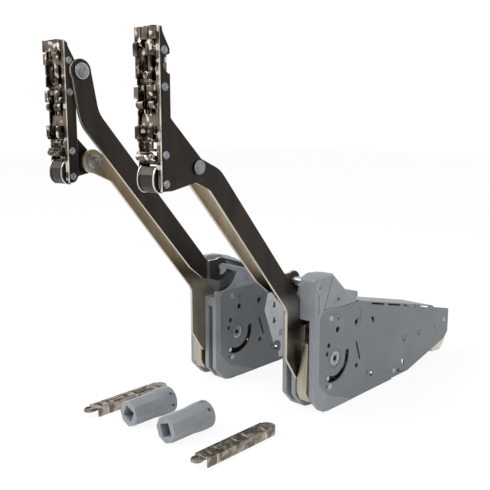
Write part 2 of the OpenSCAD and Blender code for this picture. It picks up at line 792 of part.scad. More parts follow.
module damper_tube() {
  color(dark_nickel)
    difference() {
      union() {
        along_y(damper_s, damper_z, damper_r, damper_front, damper_front + damper_l);
        slab(damper_s - 3, damper_s + 3)
          slot2d([damper_front + damper_l - 2, damper_z], [damper_front + damper_l + 6, damper_z], 9);
        // Cross pin that hangs the tube in the plates
        bar([damper_front + damper_l + 6, damper_z], 2, plate_t, inner_face);
      }
      along_y(damper_s, damper_z, damper_r - 1.5, damper_front + 2, damper_front + damper_l - 6);
      along_y(damper_s, damper_z, damper_rod_r + run, damper_front - cut, damper_front + 3);
    }
}

module damper_rod() {
  color(zinc) {
    along_y(damper_s, damper_z, damper_rod_r, bridge_back - 6, damper_front + 12);
    along_y(damper_s, damper_z, damper_r - 1.5 - run, damper_front + 12, damper_front + 16);
  }
}

// Main arm

foot_front = -52;
foot_back = -15.5;
arm_lead = [26, -11.6];
bend = main_top + arm_lead;
// Middle of the arm where it passes under the control arm's axle
pass_at = control_low + [-16, -21.2];
main_dir = unit_v(pass_at - bend);
main_norm = [-main_dir[1], main_dir[0]];
lead_norm = unit_v([-arm_lead[1], arm_lead[0]]);
half_w = main_w / 2;
// Point of the arm's diagonal at distance y, on the edge at offset off
function on_diag(y, off) =
  let (p = bend + off * main_norm) [y, p[1] + (y - p[0]) * main_dir[1] / main_dir[0]];
// Offset of the bend's corner where both edges meet
function mitre(off) = bend + off * (main_norm + lead_norm) / (1 + main_norm * lead_norm);

module main_arm2d() {
  u1 = mitre(half_w);
  l1 = mitre(-half_w);
  end_mid = main_top - 3 * unit_v(arm_lead);
  u0 = end_mid + half_w * lead_norm;
  l0 = end_mid - half_w * lead_norm;
  u2 = on_diag(-29, half_w);
  l2 = on_diag(foot_front, -half_w);
  difference() {
    union() {
      polygon(rounded([
        [u0[0], u0[1], 0], [u1[0], u1[1], 26], [u2[0], u2[1], 6], [foot_back, u2[1] - 13, 4],
        [foot_back, -10, 2], [-21, -17, 3], [-36, -17, 1.5], [foot_front, 7, 2],
        [l2[0], l2[1], 14], [l1[0], l1[1], 8], [l0[0], l0[1], 0]]));
      translate(main_top) circle(main_end_r, $fn = big_fn);
    }
    translate(main_top) circle(pivot_r + run, $fn = small_fn);
    for (p = stud_at) translate(p) circle(stud_r + seat, $fn = small_fn);
  }
}

module main_arm() {
  color(dark_nickel) slab(arm_s0, arm_s1) main_arm2d();
}

// Pin of the main arm's upper pivot, with its spacer against the bracket
module main_arm_pin() {
  color(zinc) {
    bar(main_top, pivot_r, bracket_s0 - 0.9, arm_s1 + side / 2);
    bar(main_top, pivot_head_r - 3.4, bracket_s0 - 1.4, bracket_s0);
    bar(main_top, pivot_head_r, arm_s1 + side / 2, arm_s1 + side / 2 + pivot_head_h, big_fn);
    bar(main_top, pivot_head_r + 1.5, carrier_s0, arm_s0 - side / 2, big_fn);
  }
}

// Control arm

knee_top = [control_top[0] + 7.5, control_top[1] - 40];
knee_low = [control_low[0] - 41, control_low[1] + 13.5];
heel = [control_low[0] - 27, control_low[1] + 0.5];
// Offset of the corner q between p and r, on the left of the way
function corner_offset(p, q, r, off) =
  let (
    u = unit_v(q - p),
    w = unit_v(r - q),
    nu = [-u[1], u[0]],
    nw = [-w[1], w[0]]
  )
  q + off * (nu + nw) / (1 + nu * nw);
control_path = [control_top, knee_top, knee_low, heel, control_low];

module control_arm2d() {
  half = control_w / 2;
  shin = control_w * 0.4;
  a = corner_offset(control_path[0], control_path[1], control_path[2], half);
  b = corner_offset(control_path[1], control_path[2], control_path[3], half);
  c = corner_offset(control_path[2], control_path[3], control_path[4], shin);
  d = corner_offset(control_path[2], control_path[3], control_path[4], -shin);
  e = corner_offset(control_path[1], control_path[2], control_path[3], -half);
  f = corner_offset(control_path[0], control_path[1], control_path[2], -half);
  difference() {
    union() {
      polygon(rounded([
        [control_top[0] + control_end_r - 0.5, control_top[1] + 3, 0], [a[0], a[1], 26], [b[0], b[1], 20],
        [c[0], c[1], 14], [control_low[0] + 3, control_low[1] + shin, 0],
        [control_low[0] + 9, control_low[1] - 5, 2], [control_low[0] + 6.5, control_low[1] - 14, 3],
        [control_low[0] - 3, control_low[1] - 15.8, 3], [control_low[0] - 14, control_low[1] - 12, 3],
        [d[0], d[1], 5], [e[0], e[1], 12], [f[0], f[1], 34],
        [control_top[0] - control_end_r + 0.5, control_top[1] + 3, 0]]));
      translate(control_top) circle(control_end_r, $fn = big_fn);
      translate(control_low) circle(control_foot_r, $fn = big_fn);
    }
    translate(control_top) circle(pivot_r + run, $fn = small_fn);
    translate(control_low) circle(control_axle_r + run, $fn = small_fn);
  }
}

// Bent sheet of the control arm seen from above, stepping in at its foot
module control_plan2d() {
  y0 = control_low[0] - 25;
  y1 = control_low[0] - 16;
  far = -400;
  near = 100;
  polygon([
    [x_out - control_s1, far], [x_out - control_s0, far], [x_out - control_s0, y0],
    [x_out - foot_s0, y1], [x_out - foot_s0, near], [x_out - foot_s1, near],
    [x_out - foot_s1, y1], [x_out - control_s1, y0]]);
}

module control_arm() {
  color(dark_nickel)
    intersection() {
      slab(foot_s0 - cut, control_s1 + cut) control_arm2d();
      translate([0, 0, -50]) linear_extrude(500) control_plan2d();
    }
}

module control_axle() {
  color(zinc) {
    bar(control_low, control_axle_r, block_s1 - 9, unit_w - 0.6);
    bar(control_low, control_axle_r + 1.6, block_s1 + 0.1, foot_s0 - 0.1);
  }
}

module control_arm_pin() {
  color(zinc) {
    bar(control_top, pivot_r, carrier_s1 - 1, control_s1 + side / 2);
    bar(control_top, pivot_r + 1.5, bracket_s1, control_s0 - 0.1);
    bar(control_top, pivot_head_r, control_s1 + side / 2, control_s1 + side / 2 + pivot_head_h, big_fn);
  }
}

// Door bracket

module rivet_holes2d() {
  for (z = rivet_z) translate([rivet_y, z]) circle(rivet_r + seat, $fn = small_fn);
}

module bracket_outer() {
  ear = main_top;
  color(dark_nickel)
    slab(bracket_s0, carrier_s0)
      difference() {
        union() {
          polygon(rounded([
            [strip_front, bracket_low, 1], [strip_front + 10, bracket_low, 12],
            [ear[0] - 1, ear[1] - 11.5, 5], [ear[0] + 8.6, ear[1] - 8, 4], [ear[0] + 9.6, ear[1] + 0.4, 3],
            [strip_back, ear[1] + 38, 3],
            [strip_back, bracket_high - 14.5, 1], [strip_front + 1.2, bracket_high, 1],
            [strip_front, bracket_high, 0]]));
        }
        // Notch through which the control arm's pin is reached
        translate([strip_back + 0.9, control_top[1] - 1]) circle(7.2, $fn = big_fn);
        translate(main_top) circle(pivot_r + seat, $fn = small_fn);
        rivet_holes2d();
      }
}

module bracket_inner() {
  color(dark_nickel)
    slab(carrier_s1, bracket_s1)
      difference() {
        union() {
          polygon(rounded([
            [strip_front, bracket_low, 1], [strip_front + 6, bracket_low, 6],
            [strip_back, bracket_low + 6, 3], [strip_back, bracket_high - 14.5, 1],
            [strip_front + 1.2, bracket_high, 1], [strip_front, bracket_high, 0]]));
          translate(control_top) circle(control_end_r - 2, $fn = big_fn);
        }
        translate(control_top) circle(pivot_r + seat, $fn = small_fn);
        rivet_holes2d();
      }
}

module bracket_rivets() {
  color(zinc)
    for (z = rivet_z, hand = [0, 1]) {
      s0 = hand == 0 ? bracket_s0 : carrier_s1 - carrier_t;
      s1 = hand == 0 ? carrier_s0 + carrier_t : bracket_s1;
      bar([rivet_y, z], rivet_r, s0, s1);
      // A low round head on the outer side of each plate
      slab(hand == 0 ? s0 - 0.9 : s1, hand == 0 ? s0 : s1 + 0.35)
        translate([rivet_y, z]) circle(rivet_r + 0.7, $fn = small_fn);
    }
}

// Carrier

web_y = edge_y + carrier_depth;
carrier_mid = (carrier_s0 + carrier_s1) / 2;
lip_z = bracket_low + 0.217 * bracket_h;

// A profile in (s, z) seen from the front, extruded between two distances
module front_slab(y0, y1) {
  translate([x_out, y1, 0]) rotate([90, 0, 0]) mirror([1, 0, 0]) linear_extrude(y1 - y0) children();
}

// Height at a share of the bracket
function up(share) = bracket_low + share * bracket_h;

module carrier() {
  hook_z = [up(0.875), up(0.617), up(0.367)];
  color(nickel)
    difference() {
      union() {
        // Channel: web and two side walls
        front_slab(web_y, web_y + carrier_t)
          translate([carrier_s0, bracket_low + 3]) square([carrier_s1 - carrier_s0, bracket_h - 4]);
        for (s = [carrier_s0, carrier_s1 - carrier_t])
          slab(s, s + carrier_t)
            polygon(rounded([
              [edge_y, bracket_low + 2, 1], [strip_back - 1, bracket_low + 2, 5],
              [strip_back - 1, bracket_high - 15, 1], [edge_y + 1, bracket_high, 1], [edge_y, bracket_high, 0]]));
        // Top block, folded over the channel
        slab(carrier_s0 + carrier_t, carrier_s1 - carrier_t)
          polygon(rounded([[edge_y - 1, bracket_high - 9, 1], [edge_y - 1, bracket_high, 2],
                           [web_y + carrier_t, bracket_high, 1], [web_y + carrier_t, bracket_high - 9, 0]]));
        // Pairs of hooks that the door plate hangs on
        for (z = hook_z, s = [carrier_s0 + carrier_t, carrier_s1 - carrier_t - 5])
          slab(s, s + 5)
            polygon(rounded([
              [web_y + 0.5, z - 5, 0], [edge_y - hook_reach, z - 5, 1.5], [edge_y - hook_reach, z + 5, 1.2],
              [edge_y - hook_reach + 2, z + 5, 0.4], [edge_y - hook_reach + 2, z - 1, 1.5], [web_y + 0.5, z - 1, 0]]));
        // Curled lip over the release lever
        slab(carrier_s0 + 3, carrier_s1 - 3)
          polygon(rounded([
            [web_y + 0.5, lip_z - 1, 0], [edge_y - 1, lip_z - 1, 3], [edge_y - hook_reach, lip_z + 3.5, 0.5],
            [edge_y - hook_reach + 1.2, lip_z + 4, 0.5], [edge_y - 0.2, lip_z + 1, 2.2], [web_y + 0.5, lip_z + 1, 0]]));
        // Raised rail down the middle of the web
        front_slab(edge_y + 1, web_y)
          translate([carrier_mid - 4, up(0.433)]) square([3, 0.283 * bracket_h]);
        front_slab(edge_y + 1, web_y)
          translate([carrier_mid + 3, up(0.658)]) square([3, 0.183 * bracket_h]);
      }
      // Windows of the web
      front_slab(web_y - cut, web_y + carrier_t + cut) {
        translate([carrier_mid - 6, up(0.7)]) square([5, 0.133 * bracket_h]);
        translate([carrier_mid + 2, up(0.3)]) square([5, 0.117 * bracket_h]);
        translate([carrier_mid - 5, lip_z + 6]) square([6, 5]);
      }
      slab(carrier_s0 - cut, carrier_s1 + cut) rivet_holes2d();
      along_y(carrier_mid, screw_z, screw_r * 0.6 + run, web_y - cut, web_y + carrier_t + cut);
      along_y(carrier_mid, screw_z, screw_r + side, web_y - carrier_depth - cut, web_y);
      // Room of the release lever in the channel's lower end
      slab(carrier_s0 + carrier_t, carrier_s1 - carrier_t)
        translate([edge_y - 6, bracket_low]) square([carrier_depth + 6 + carrier_t + cut, lip_z - bracket_low - 6]);
      bar(release_at, release_pin_r + run, carrier_s0 - cut, carrier_s1 + cut);
    }
}

screw_z = bracket_low + 0.47 * bracket_h;
module adjusting_screw() {
  color(zinc)
    difference() {
      union() {
        along_y(carrier_mid, screw_z, screw_r, web_y - 2.6, web_y - 0.1);
        along_y(carrier_mid, screw_z, screw_r * 0.6, web_y - 0.2, web_y + carrier_t + 1);
        along_y(carrier_mid, screw_z, screw_r * 0.8, web_y + carrier_t + 0.1, web_y + carrier_t + 1.4);
      }
      for (turn = [0, 90])
        translate([x_out - carrier_mid, web_y - 2.6, screw_z])
          rotate([0, turn, 0])
            cube([screw_r * 1.3, 2.4, 1.1], center = true);
    }
}

release_pin_r = 1.6;
release_at = [web_y - 1.6, lip_z - 10.5];
module release_lever() {
  s0 = carrier_s0 + carrier_t + 0.4;
  s1 = carrier_s1 - carrier_t - 0.4;
  low = bracket_low - 1.5;
  color(dark_nickel)
    difference() {
      union() {
        slab(s0, s1)
          polygon(rounded([
            [edge_y + 0.4, release_at[1] + 3.4, 1], [edge_y - 3.4, release_at[1] - 3, 3],
            [edge_y - 3.4, low + 6, 4], [web_y - 2.6, low, 2], [web_y + 0.8, low + 0.8, 0.6],
            [web_y + 0.8, release_at[1] + 3.4, 2]]));
        bar(release_at, release_pin_r, carrier_s0, carrier_s1);
      }
      // Hollow of the lever, open to the front
      slab(s0 + 1.6, s1 - 1.6)
        polygon([[edge_y - 8, release_at[1] - 4], [edge_y - 1, release_at[1] - 4],
                 [web_y - 2.8, low + 7], [web_y - 3.6, low + 4.6], [edge_y - 8, low + 4.6]]);
    }
}

// Crossbar adapters

module adapter(roll) {
  color(housing_grey)
    translate([0, 0, adapter_r])
      rotate([-90, 0, 0])
        rotate([0, 0, roll])
          difference() {
            union() {
              // Eight-sided socket end, a cone, and the round end
              intersection() {
                rotate([0, 0, 22.5]) cylinder(h = adapter_l - 3, r = adapter_flat / 2 / cos(22.5), $fn = 8);
                cylinder(h = adapter_l, r = adapter_r - 0.6, $fn = big_fn);
              }
              translate([0, 0, adapter_l * 0.4]) cylinder(h = adapter_l * 0.36, r1 = adapter_flat / 2 - 0.2, r2 = adapter_r, $fn = big_fn);
              translate([0, 0, adapter_l * 0.76]) cylinder(h = adapter_l * 0.24, r = adapter_r, $fn = big_fn);
            }
            translate([0, 0, adapter_l - crossbar_depth]) cylinder(h = crossbar_depth + cut, r = crossbar_r, $fn = big_fn);
            translate([-socket_a / 2, -socket_a / 2, -cut]) cube([socket_a, socket_a, socket_depth + cut]);
            for (turn = adapter_holes)
              translate([0, 0, adapter_l - 5]) rotate([0, 0, turn]) rotate([0, 90, 0]) cylinder(h = 2 * adapter_r, r = adapter_hole_r, $fn = small_fn);
          }
}

adapter_holes = [-20, -70];
module adapter_a() {
  translate([-28.3, hub_y - 170, 0]) adapter(24);
}
module adapter_b() {
  translate([25, hub_y - 170, 0]) adapter(-20);
}

// Door plates

ring_r = 5.4;
module door_plate() {
  w = door_plate_w;
  l = door_plate_l;
  h = door_plate_h;
  t = door_plate_t;
  color(nickel)
    difference() {
      union() {
        // Channel lying with its open side down
        difference() {
          translate([-w / 2, 0, 0]) cube([w, l, h]);
          translate([-w / 2 + t, -cut, -cut]) cube([w - 2 * t, l + 2 * cut, h - t + cut]);
        }
        // Rounded end, one step lower than the roof
        translate([0, l, 0])
          difference() {
            cylinder(h = h - 0.8, r = w / 2, $fn = big_fn);
            translate([0, 0, -cut]) cylinder(h = h - 0.8 - t + cut, r = w / 2 - t, $fn = big_fn);
            translate([-w, -2 * w, -cut]) cube([2 * w, 2 * w, h + 2 * cut]);
          }
        // Ring at the other end of the roof
        translate([0, -ring_r, h - t - 1]) cylinder(h = t + 0.6, r = ring_r, $fn = big_fn);
        translate([-ring_r + 1, -ring_r + 1, h - t - 1]) cube([2 * ring_r - 2, ring_r, t + 0.6]);
      }
      translate([0, -ring_r, -cut]) cylinder(h = h, r = ring_r - 2, $fn = small_fn);
      for (y = [-0.5, 0.5]) translate([0, l / 2 + y * door_hole_gap, h - t - cut]) cylinder(h = t + 2 * cut, r = door_hole_r, $fn = small_fn);
      // Slots across the roof
      for (y = [6, 16, l / 2 - 4, l / 2 + 8, l - 12])
        translate([-w / 2 + 3.2, y, h - t - cut]) cube([w - 6.4, 1.8, t + 2 * cut]);
      // Shoulders along both side walls
      for (x = [-w / 2 - cut, w / 2 - 0.4], y = [11, l - 11]) translate([x, y, -cut]) cube([0.4 + cut, 1, h + 2 * cut]);
    }
}

// The plates lie just outside the strips that the main arms sweep
plate_x = x_out - arm_s0 + side + door_plate_w / 2 + 0.1;
module door_plate_a() {
  translate([-plate_x, hub_y - 175, 0]) door_plate();
}
module door_plate_b() {
  translate([plate_x, hub_y - 175, 0]) door_plate();
}

unit(1) side_tray();  // right_side_tray
unit(1) inner_plate();  // right_inner_plate
unit(1) outer_cover();  // right_outer_cover
unit(1) inner_cover();  // right_inner_cover
unit(1) spring_seat();  // right_spring_seat
unit(1) springs();  // right_springs
unit(1) guide_rods();  // right_guide_rods
unit(1) spring_bridge();  // right_spring_bridge
unit(1) roller();  // right_roller
unit(1) roller_pin();  // right_roller_pin
unit(1) damper_tube();  // right_damper_tube
unit(1) damper_rod();  // right_damper_rod
unit(1) power_lever();  // right_power_lever
unit(1) main_axle();  // right_main_axle
unit(1) lever_pins();  // right_lever_pins
unit(1) main_arm();  // right_main_arm
unit(1) main_arm_pin();  // right_main_arm_pin
unit(1) control_arm();  // right_control_arm
unit(1) control_axle();  // right_control_axle
unit(1) control_arm_pin();  // right_control_arm_pin
unit(1) bracket_outer();  // right_bracket_outer
unit(1) bracket_inner();  // right_bracket_inner
unit(1) bracket_rivets();  // right_bracket_rivets
unit(1) carrier();  // right_carrier
unit(1) release_lever();  // right_release_lever
unit(1) adjusting_screw();  // right_adjusting_screw
unit(-1) side_tray();  // left_side_tray
unit(-1) inner_plate();  // left_inner_plate
unit(-1) outer_cover();  // left_outer_cover
unit(-1) inner_cover();  // left_inner_cover
unit(-1) spring_seat();  // left_spring_seat
unit(-1) springs();  // left_springs
unit(-1) guide_rods();  // left_guide_rods
unit(-1) spring_bridge();  // left_spring_bridge
unit(-1) roller();  // left_roller
unit(-1) roller_pin();  // left_roller_pin
unit(-1) damper_tube();  // left_damper_tube
unit(-1) damper_rod();  // left_damper_rod
unit(-1) power_lever();  // left_power_lever
unit(-1) main_axle();  // left_main_axle
unit(-1) lever_pins();  // left_lever_pins
unit(-1) main_arm();  // left_main_arm
unit(-1) main_arm_pin();  // left_main_arm_pin
unit(-1) control_arm();  // left_control_arm
unit(-1) control_axle();  // left_control_axle
unit(-1) control_arm_pin();  // left_control_arm_pin
unit(-1) bracket_outer();  // left_bracket_outer
unit(-1) bracket_inner();  // left_bracket_inner
unit(-1) bracket_rivets();  // left_bracket_rivets
unit(-1) carrier();  // left_carrier
unit(-1) release_lever();  // left_release_lever
unit(-1) adjusting_screw();  // left_adjusting_screw
plate_rivets();
rear_caps();
adapter_a();
adapter_b();
door_plate_a();
door_plate_b();
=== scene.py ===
import json
import math
import bpy
import bmesh
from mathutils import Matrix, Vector
from mathutils.kdtree import KDTree


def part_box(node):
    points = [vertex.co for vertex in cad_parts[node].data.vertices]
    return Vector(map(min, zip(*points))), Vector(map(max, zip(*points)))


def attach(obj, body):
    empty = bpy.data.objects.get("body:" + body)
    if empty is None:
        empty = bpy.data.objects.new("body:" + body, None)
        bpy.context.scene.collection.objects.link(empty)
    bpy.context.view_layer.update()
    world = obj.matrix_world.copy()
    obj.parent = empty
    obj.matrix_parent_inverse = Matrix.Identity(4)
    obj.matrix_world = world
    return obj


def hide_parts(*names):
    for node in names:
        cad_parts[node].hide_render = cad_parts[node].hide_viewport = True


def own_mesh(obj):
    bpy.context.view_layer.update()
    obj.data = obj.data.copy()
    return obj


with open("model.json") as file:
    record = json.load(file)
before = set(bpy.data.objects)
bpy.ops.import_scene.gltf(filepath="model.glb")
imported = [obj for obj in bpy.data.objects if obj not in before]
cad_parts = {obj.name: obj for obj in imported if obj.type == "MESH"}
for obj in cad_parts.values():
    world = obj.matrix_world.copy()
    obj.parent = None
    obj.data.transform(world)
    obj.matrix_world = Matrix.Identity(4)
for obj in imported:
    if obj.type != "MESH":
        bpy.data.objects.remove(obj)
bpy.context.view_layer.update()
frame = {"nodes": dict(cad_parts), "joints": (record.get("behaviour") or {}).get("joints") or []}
nodes = frame["nodes"]

# Camera
# The view of the catalogue picture: from the front right, a little above the
# units, with a short telephoto lens.
view_data = bpy.data.cameras.new("view_from_front_right")
view_data.lens = 51.4
view_data.sensor_width = 36.0
view_data.clip_start = 0.02
view_data.clip_end = 20.0
view_camera = bpy.data.objects.new("view_from_front_right", view_data)
view_camera.location = (0.4775, -0.56745, 0.2833)
view_camera.rotation_euler = (math.radians(80.25), 0.0, math.radians(42.75))
bpy.context.scene.collection.objects.link(view_camera)
bpy.context.scene.camera = view_camera
bpy.context.scene.view_settings.view_transform = "Standard"


# Table top and studio light
# A white laminate sheet under the parts, lit by a large soft box from the upper
# left, a weaker one from the right, and an even white room.
def linear(code):
    """The linear colour of an sRGB hex code."""
    shares = [int(code[i:i + 2], 16) / 255 for i in (1, 3, 5)]
    return tuple(s / 12.92 if s <= 0.04045 else ((s + 0.055) / 1.055) ** 2.4 for s in shares) + (1.0,)


def add(tree, kind, settings=None, links=None):
    """Adds a node, fills its sockets and fields, and joins what feeds it."""
    node = tree.nodes.new(kind)
    fields = {k: v for k, v in (settings or {}).items() if isinstance(k, str) and k not in node.inputs}
    for name, value in fields.items():
        setattr(node, name, value)
    for name, value in (settings or {}).items():
        if name not in fields:
            node.inputs[name].default_value = value
    for name, source in (links or {}).items():
        tree.links.new(source, node.inputs[name])
    return node


def seen_share(tree):
    """1 for rays from the camera or from a mirror or glass surface, otherwise 0."""
    path = add(tree, "ShaderNodeLightPath")
    sharp = add(tree, "ShaderNodeMath", {"operation": "MAXIMUM"},
                {0: path.outputs["Is Camera Ray"], 1: path.outputs["Is Glossy Ray"]})
    clear = add(tree, "ShaderNodeMath", {"operation": "MAXIMUM"},
                {0: sharp.outputs[0], 1: path.outputs["Is Transmission Ray"]})
    return clear.outputs[0]


room = bpy.data.worlds.new("white_room")
room.use_nodes = True
room.node_tree.nodes.clear()
bpy.context.scene.world = room
room_light = add(room.node_tree, "ShaderNodeBackground", {"Color": linear("#ffffff"), "Strength": 0.62})
room_seen = add(room.node_tree, "ShaderNodeBackground", {"Color": linear("#ffffff"), "Strength": 1.0})
room_mix = add(room.node_tree, "ShaderNodeMixShader", {},
               {0: seen_share(room.node_tree), 1: room_light.outputs[0], 2: room_seen.outputs[0]})
add(room.node_tree, "ShaderNodeOutputWorld", {}, {"Surface": room_mix.outputs[0]})

for lamp_name, place, aim, size, power in (
        ("soft_box_left", (-0.75, -1.0, 1.25), (0.0, 0.0, 0.1), 1.0, 17.0),
        ("soft_box_right", (1.3, -0.55, 0.8), (0.0, 0.0, 0.12), 0.9, 3.2)):
    lamp_data = bpy.data.lights.new(lamp_name, "AREA")
    lamp_data.shape = "SQUARE"
    lamp_data.size = size
    lamp_data.energy = power
    lamp = bpy.data.objects.new(lamp_name, lamp_data)
    lamp.location = place
    lamp.rotation_euler = (Vector(aim) - Vector(place)).to_track_quat("-Z", "Y").to_euler()
    bpy.context.scene.collection.objects.link(lamp)

laminate = bpy.data.materials.new("white_laminate")
laminate.use_nodes = True
laminate.node_tree.nodes.clear()
sheet_own = add(laminate.node_tree, "ShaderNodeBsdfDiffuse", {"Color": linear("#fafafa")})
sheet_lit = add(laminate.node_tree, "ShaderNodeEmission", {"Color": linear("#ffffff"), "Strength": 1.04})
sheet_share = add(laminate.node_tree, "ShaderNodeMath", {"operation": "MULTIPLY", 1: 0.86},
                  {0: seen_share(laminate.node_tree)})
sheet_mix = add(laminate.node_tree, "ShaderNodeMixShader", {},
                {0: sheet_share.outputs[0], 1: sheet_own.outputs[0], 2: sheet_lit.outputs[0]})
add(laminate.node_tree, "ShaderNodeOutputMaterial", {}, {"Surface": sheet_mix.outputs[0]})
table_mesh = bpy.data.meshes.new("table_top")
table_mesh.from_pydata([(-6, -6, 0), (6, -6, 0), (6, 6, 0), (-6, 6, 0)], [], [(0, 1, 2, 3)])
table_mesh.materials.append(laminate)
table_top = bpy.data.objects.new("table_top", table_mesh)
bpy.context.scene.collection.objects.link(table_top)


# Front covers and crossbar adapters
# Grey glass-filled nylon, injection moulded: an even satin skin with a fine
# spark-eroded grain of about 0.4 mm that softens every highlight.
def shader(name, settings):
    """A material with one Principled shader; returns it, its tree and the shader."""
    made = bpy.data.materials.new(name)
    made.use_nodes = True
    tree = made.node_tree
    tree.nodes.clear()
    surface = add(tree, "ShaderNodeBsdfPrincipled", settings)
    add(tree, "ShaderNodeOutputMaterial", {}, {"Surface": surface.outputs[0]})
    return made, tree, surface


soft_noise = (0.35, 0.65)  # the part of a noise's range over which a colour or gloss changes


def grain_and_gloss(tree, surface, grain, gloss=None):
    """Gives a surface its grain and, if wanted, a gloss that varies.

    grain is (grains in a metre, detail, depth in mm, strength), gloss is (patches in a metre,
    lowest and highest roughness).
    """
    at = add(tree, "ShaderNodeTexCoord")
    per_metre, detail, depth_mm, strength = grain
    fine = add(tree, "ShaderNodeTexNoise", {"Scale": per_metre, "Detail": detail},
               {"Vector": at.outputs["Object"]})
    bump = add(tree, "ShaderNodeBump", {"Strength": strength, "Distance": depth_mm / 1000},
               {"Height": fine.outputs["Fac"]})
    tree.links.new(bump.outputs["Normal"], surface.inputs["Normal"])
    if gloss:
        per_metre, low, high = gloss
        soft = add(tree, "ShaderNodeTexNoise", {"Scale": per_metre, "Detail": 3.0},
                   {"Vector": at.outputs["Object"]})
        rough = add(tree, "ShaderNodeMapRange",
                    {"From Min": soft_noise[0], "From Max": soft_noise[1], "To Min": low, "To Max": high},
                    {"Value": soft.outputs["Fac"]})
        tree.links.new(rough.outputs["Result"], surface.inputs["Roughness"])


def mottled(name, settings, colours, patches, grain, gloss=None):
    """A finish with soft patches of its second colour, then of its third, over the first.

    Each entry of patches is (patches in a metre, detail, the noise at which the colour starts,
    the noise from which it is full).
    """
    made, tree, surface = shader(name, settings)
    surface.inputs["Base Color"].default_value = linear(colours[0])
    at = add(tree, "ShaderNodeTexCoord")
    tint = None
    for colour, (per_metre, detail, starts, full) in zip(colours[1:], patches):
        cloud = add(tree, "ShaderNodeTexNoise", {"Scale": per_metre, "Detail": detail},
                    {"Vector": at.outputs["Object"]})
        share = add(tree, "ShaderNodeMapRange", {"From Min": starts, "From Max": full},
                    {"Value": cloud.outputs["Fac"]})
        layer = add(tree, "ShaderNodeMix", {"data_type": "RGBA", 6: linear(colours[0]), 7: linear(colour)},
                    {"Factor": share.outputs["Result"]})
        if tint:
            tree.links.new(tint.outputs[2], layer.inputs[6])
        tint = layer
        tree.links.new(tint.outputs[2], surface.inputs["Base Color"])
    grain_and_gloss(tree, surface, grain, gloss)
    return made


moulded_nylon = mottled("grey_moulded_nylon", {"Roughness": 0.46, "IOR": 1.53}, ("#868b90", "#90959a"),
                        [(45.0, 3.0, *soft_noise)], grain=(2500.0, 3.0, 0.06, 0.5), gloss=(300.0, 0.40, 0.54))
join_gap = 0.000002  # metres between corners that are one
edge_angle = 28.0  # degrees from which an edge is rounded
shade_angle = 32.0  # degrees up to which two faces are shaded as one


def round_edges(obj, width_mm, steps=2):
    """Joins a node's loose triangles, rounds its edges and evens its shading."""
    weld = obj.modifiers.new("join", "WELD")
    weld.merge_threshold = join_gap
    soften = obj.modifiers.new("edges", "BEVEL")
    soften.width = width_mm / 1000
    soften.segments = steps
    soften.limit_method = "ANGLE"
    soften.angle_limit = math.radians(edge_angle)
    soften.use_clamp_overlap = False
    soften.harden_normals = False
    for face in obj.data.polygons:
        face.use_smooth = True
    even = obj.modifiers.new("shading", "WEIGHTED_NORMAL")
    even.keep_sharp = False
    even.weight = 60


def dress(names, material, width_mm):
    """Gives CAD nodes a material and rounded edges."""
    for name in names:
        obj = nodes[name]
        obj.data.materials.clear()
        obj.data.materials.append(material)
        round_edges(obj, width_mm)


def even_shading(mesh):
    """Turns each corner to the mean of the faces round it, each counted by its whole flat's area."""
    limit = math.cos(math.radians(shade_angle))
    layers_per_metre = 20000  # faces that point one way within 0.05 mm are one flat
    normals = [face.normal.copy() for face in mesh.polygons]
    flats = []
    areas = {}
    around = [[] for corner in mesh.vertices]
    for face in mesh.polygons:
        n = normals[face.index]
        layer = round(n.dot(face.center) * layers_per_metre)
        flats.append((round(n.x, 3), round(n.y, 3), round(n.z, 3), layer))
        areas[flats[-1]] = areas.get(flats[-1], 0.0) + face.area
        for corner in face.vertices:
            around[corner].append(face.index)
    turned_to = []
    for face in mesh.polygons:
        own = normals[face.index]
        for corner in face.vertices:
            total = Vector((0.0, 0.0, 0.0))
            for other in around[corner]:
                if normals[other].dot(own) > limit:
                    total += normals[other] * areas[flats[other]]
            turned_to.append(total.normalized() if total.length > 0 else own)
    mesh.normals_split_custom_set(turned_to)


def copy_of(name, piece, material):
    """A copy of a CAD node as a new piece in one material."""
    obj = bpy.data.objects.new(piece, nodes[name].data.copy())
    bpy.context.scene.collection.objects.link(obj)
    obj.data.materials.clear()
    obj.data.materials.append(material)
    return obj


def plain_mesh(obj):
    """The mesh that an object's modifiers make."""
    bpy.context.view_layer.update()
    return bpy.data.meshes.new_from_object(obj.evaluated_get(bpy.context.evaluated_depsgraph_get()))


def moulded(name, material, width_mm, body):
    """A joined copy of a CAD node with rounded edges; corners that rounding throws out are set back on it."""
    far_out = 2.2 * width_mm / 1000  # a little more than rounding moves a corner
    source = nodes[name].data
    obj = copy_of(name, name + "_moulding", material)
    round_edges(obj, width_mm, 3)
    corners = KDTree(len(source.vertices))
    for index, corner in enumerate(source.vertices):
        corners.insert(corner.co, index)
    corners.balance()
    done = plain_mesh(obj)
    for corner in done.vertices:
        spot, index, gap = corners.find(corner.co)
        if gap > far_out:
            corner.co = spot
    done.update()
    even_shading(done)
    obj.modifiers.clear()
    obj.data = done
    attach(obj, body)
    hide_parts(name)


both = ("right_", "left_")
for side in both:
    for name in ("outer_cover", "inner_cover"):
        moulded(side + name, moulded_nylon, 0.32, "housings")
dress(["adapter_a", "adapter_b"], moulded_nylon, 0.35)


# Side plates
# Sheet steel, pressed and pierced, with a satin grey powder coat: cut edges are
# rolled over a little, and the coat has an orange peel of about 1.5 mm.
powder_coat = mottled("grey_powder_coat", {"Roughness": 0.38}, ("#6c7274", "#747a7c"),
                      [(30.0, 3.0, *soft_noise)], grain=(650.0, 1.0, 0.05, 0.35), gloss=(120.0, 0.32, 0.44))
for side in both:
    for name in ("side_tray", "inner_plate"):
        moulded(side + name, powder_coat, 0.22, "housings")


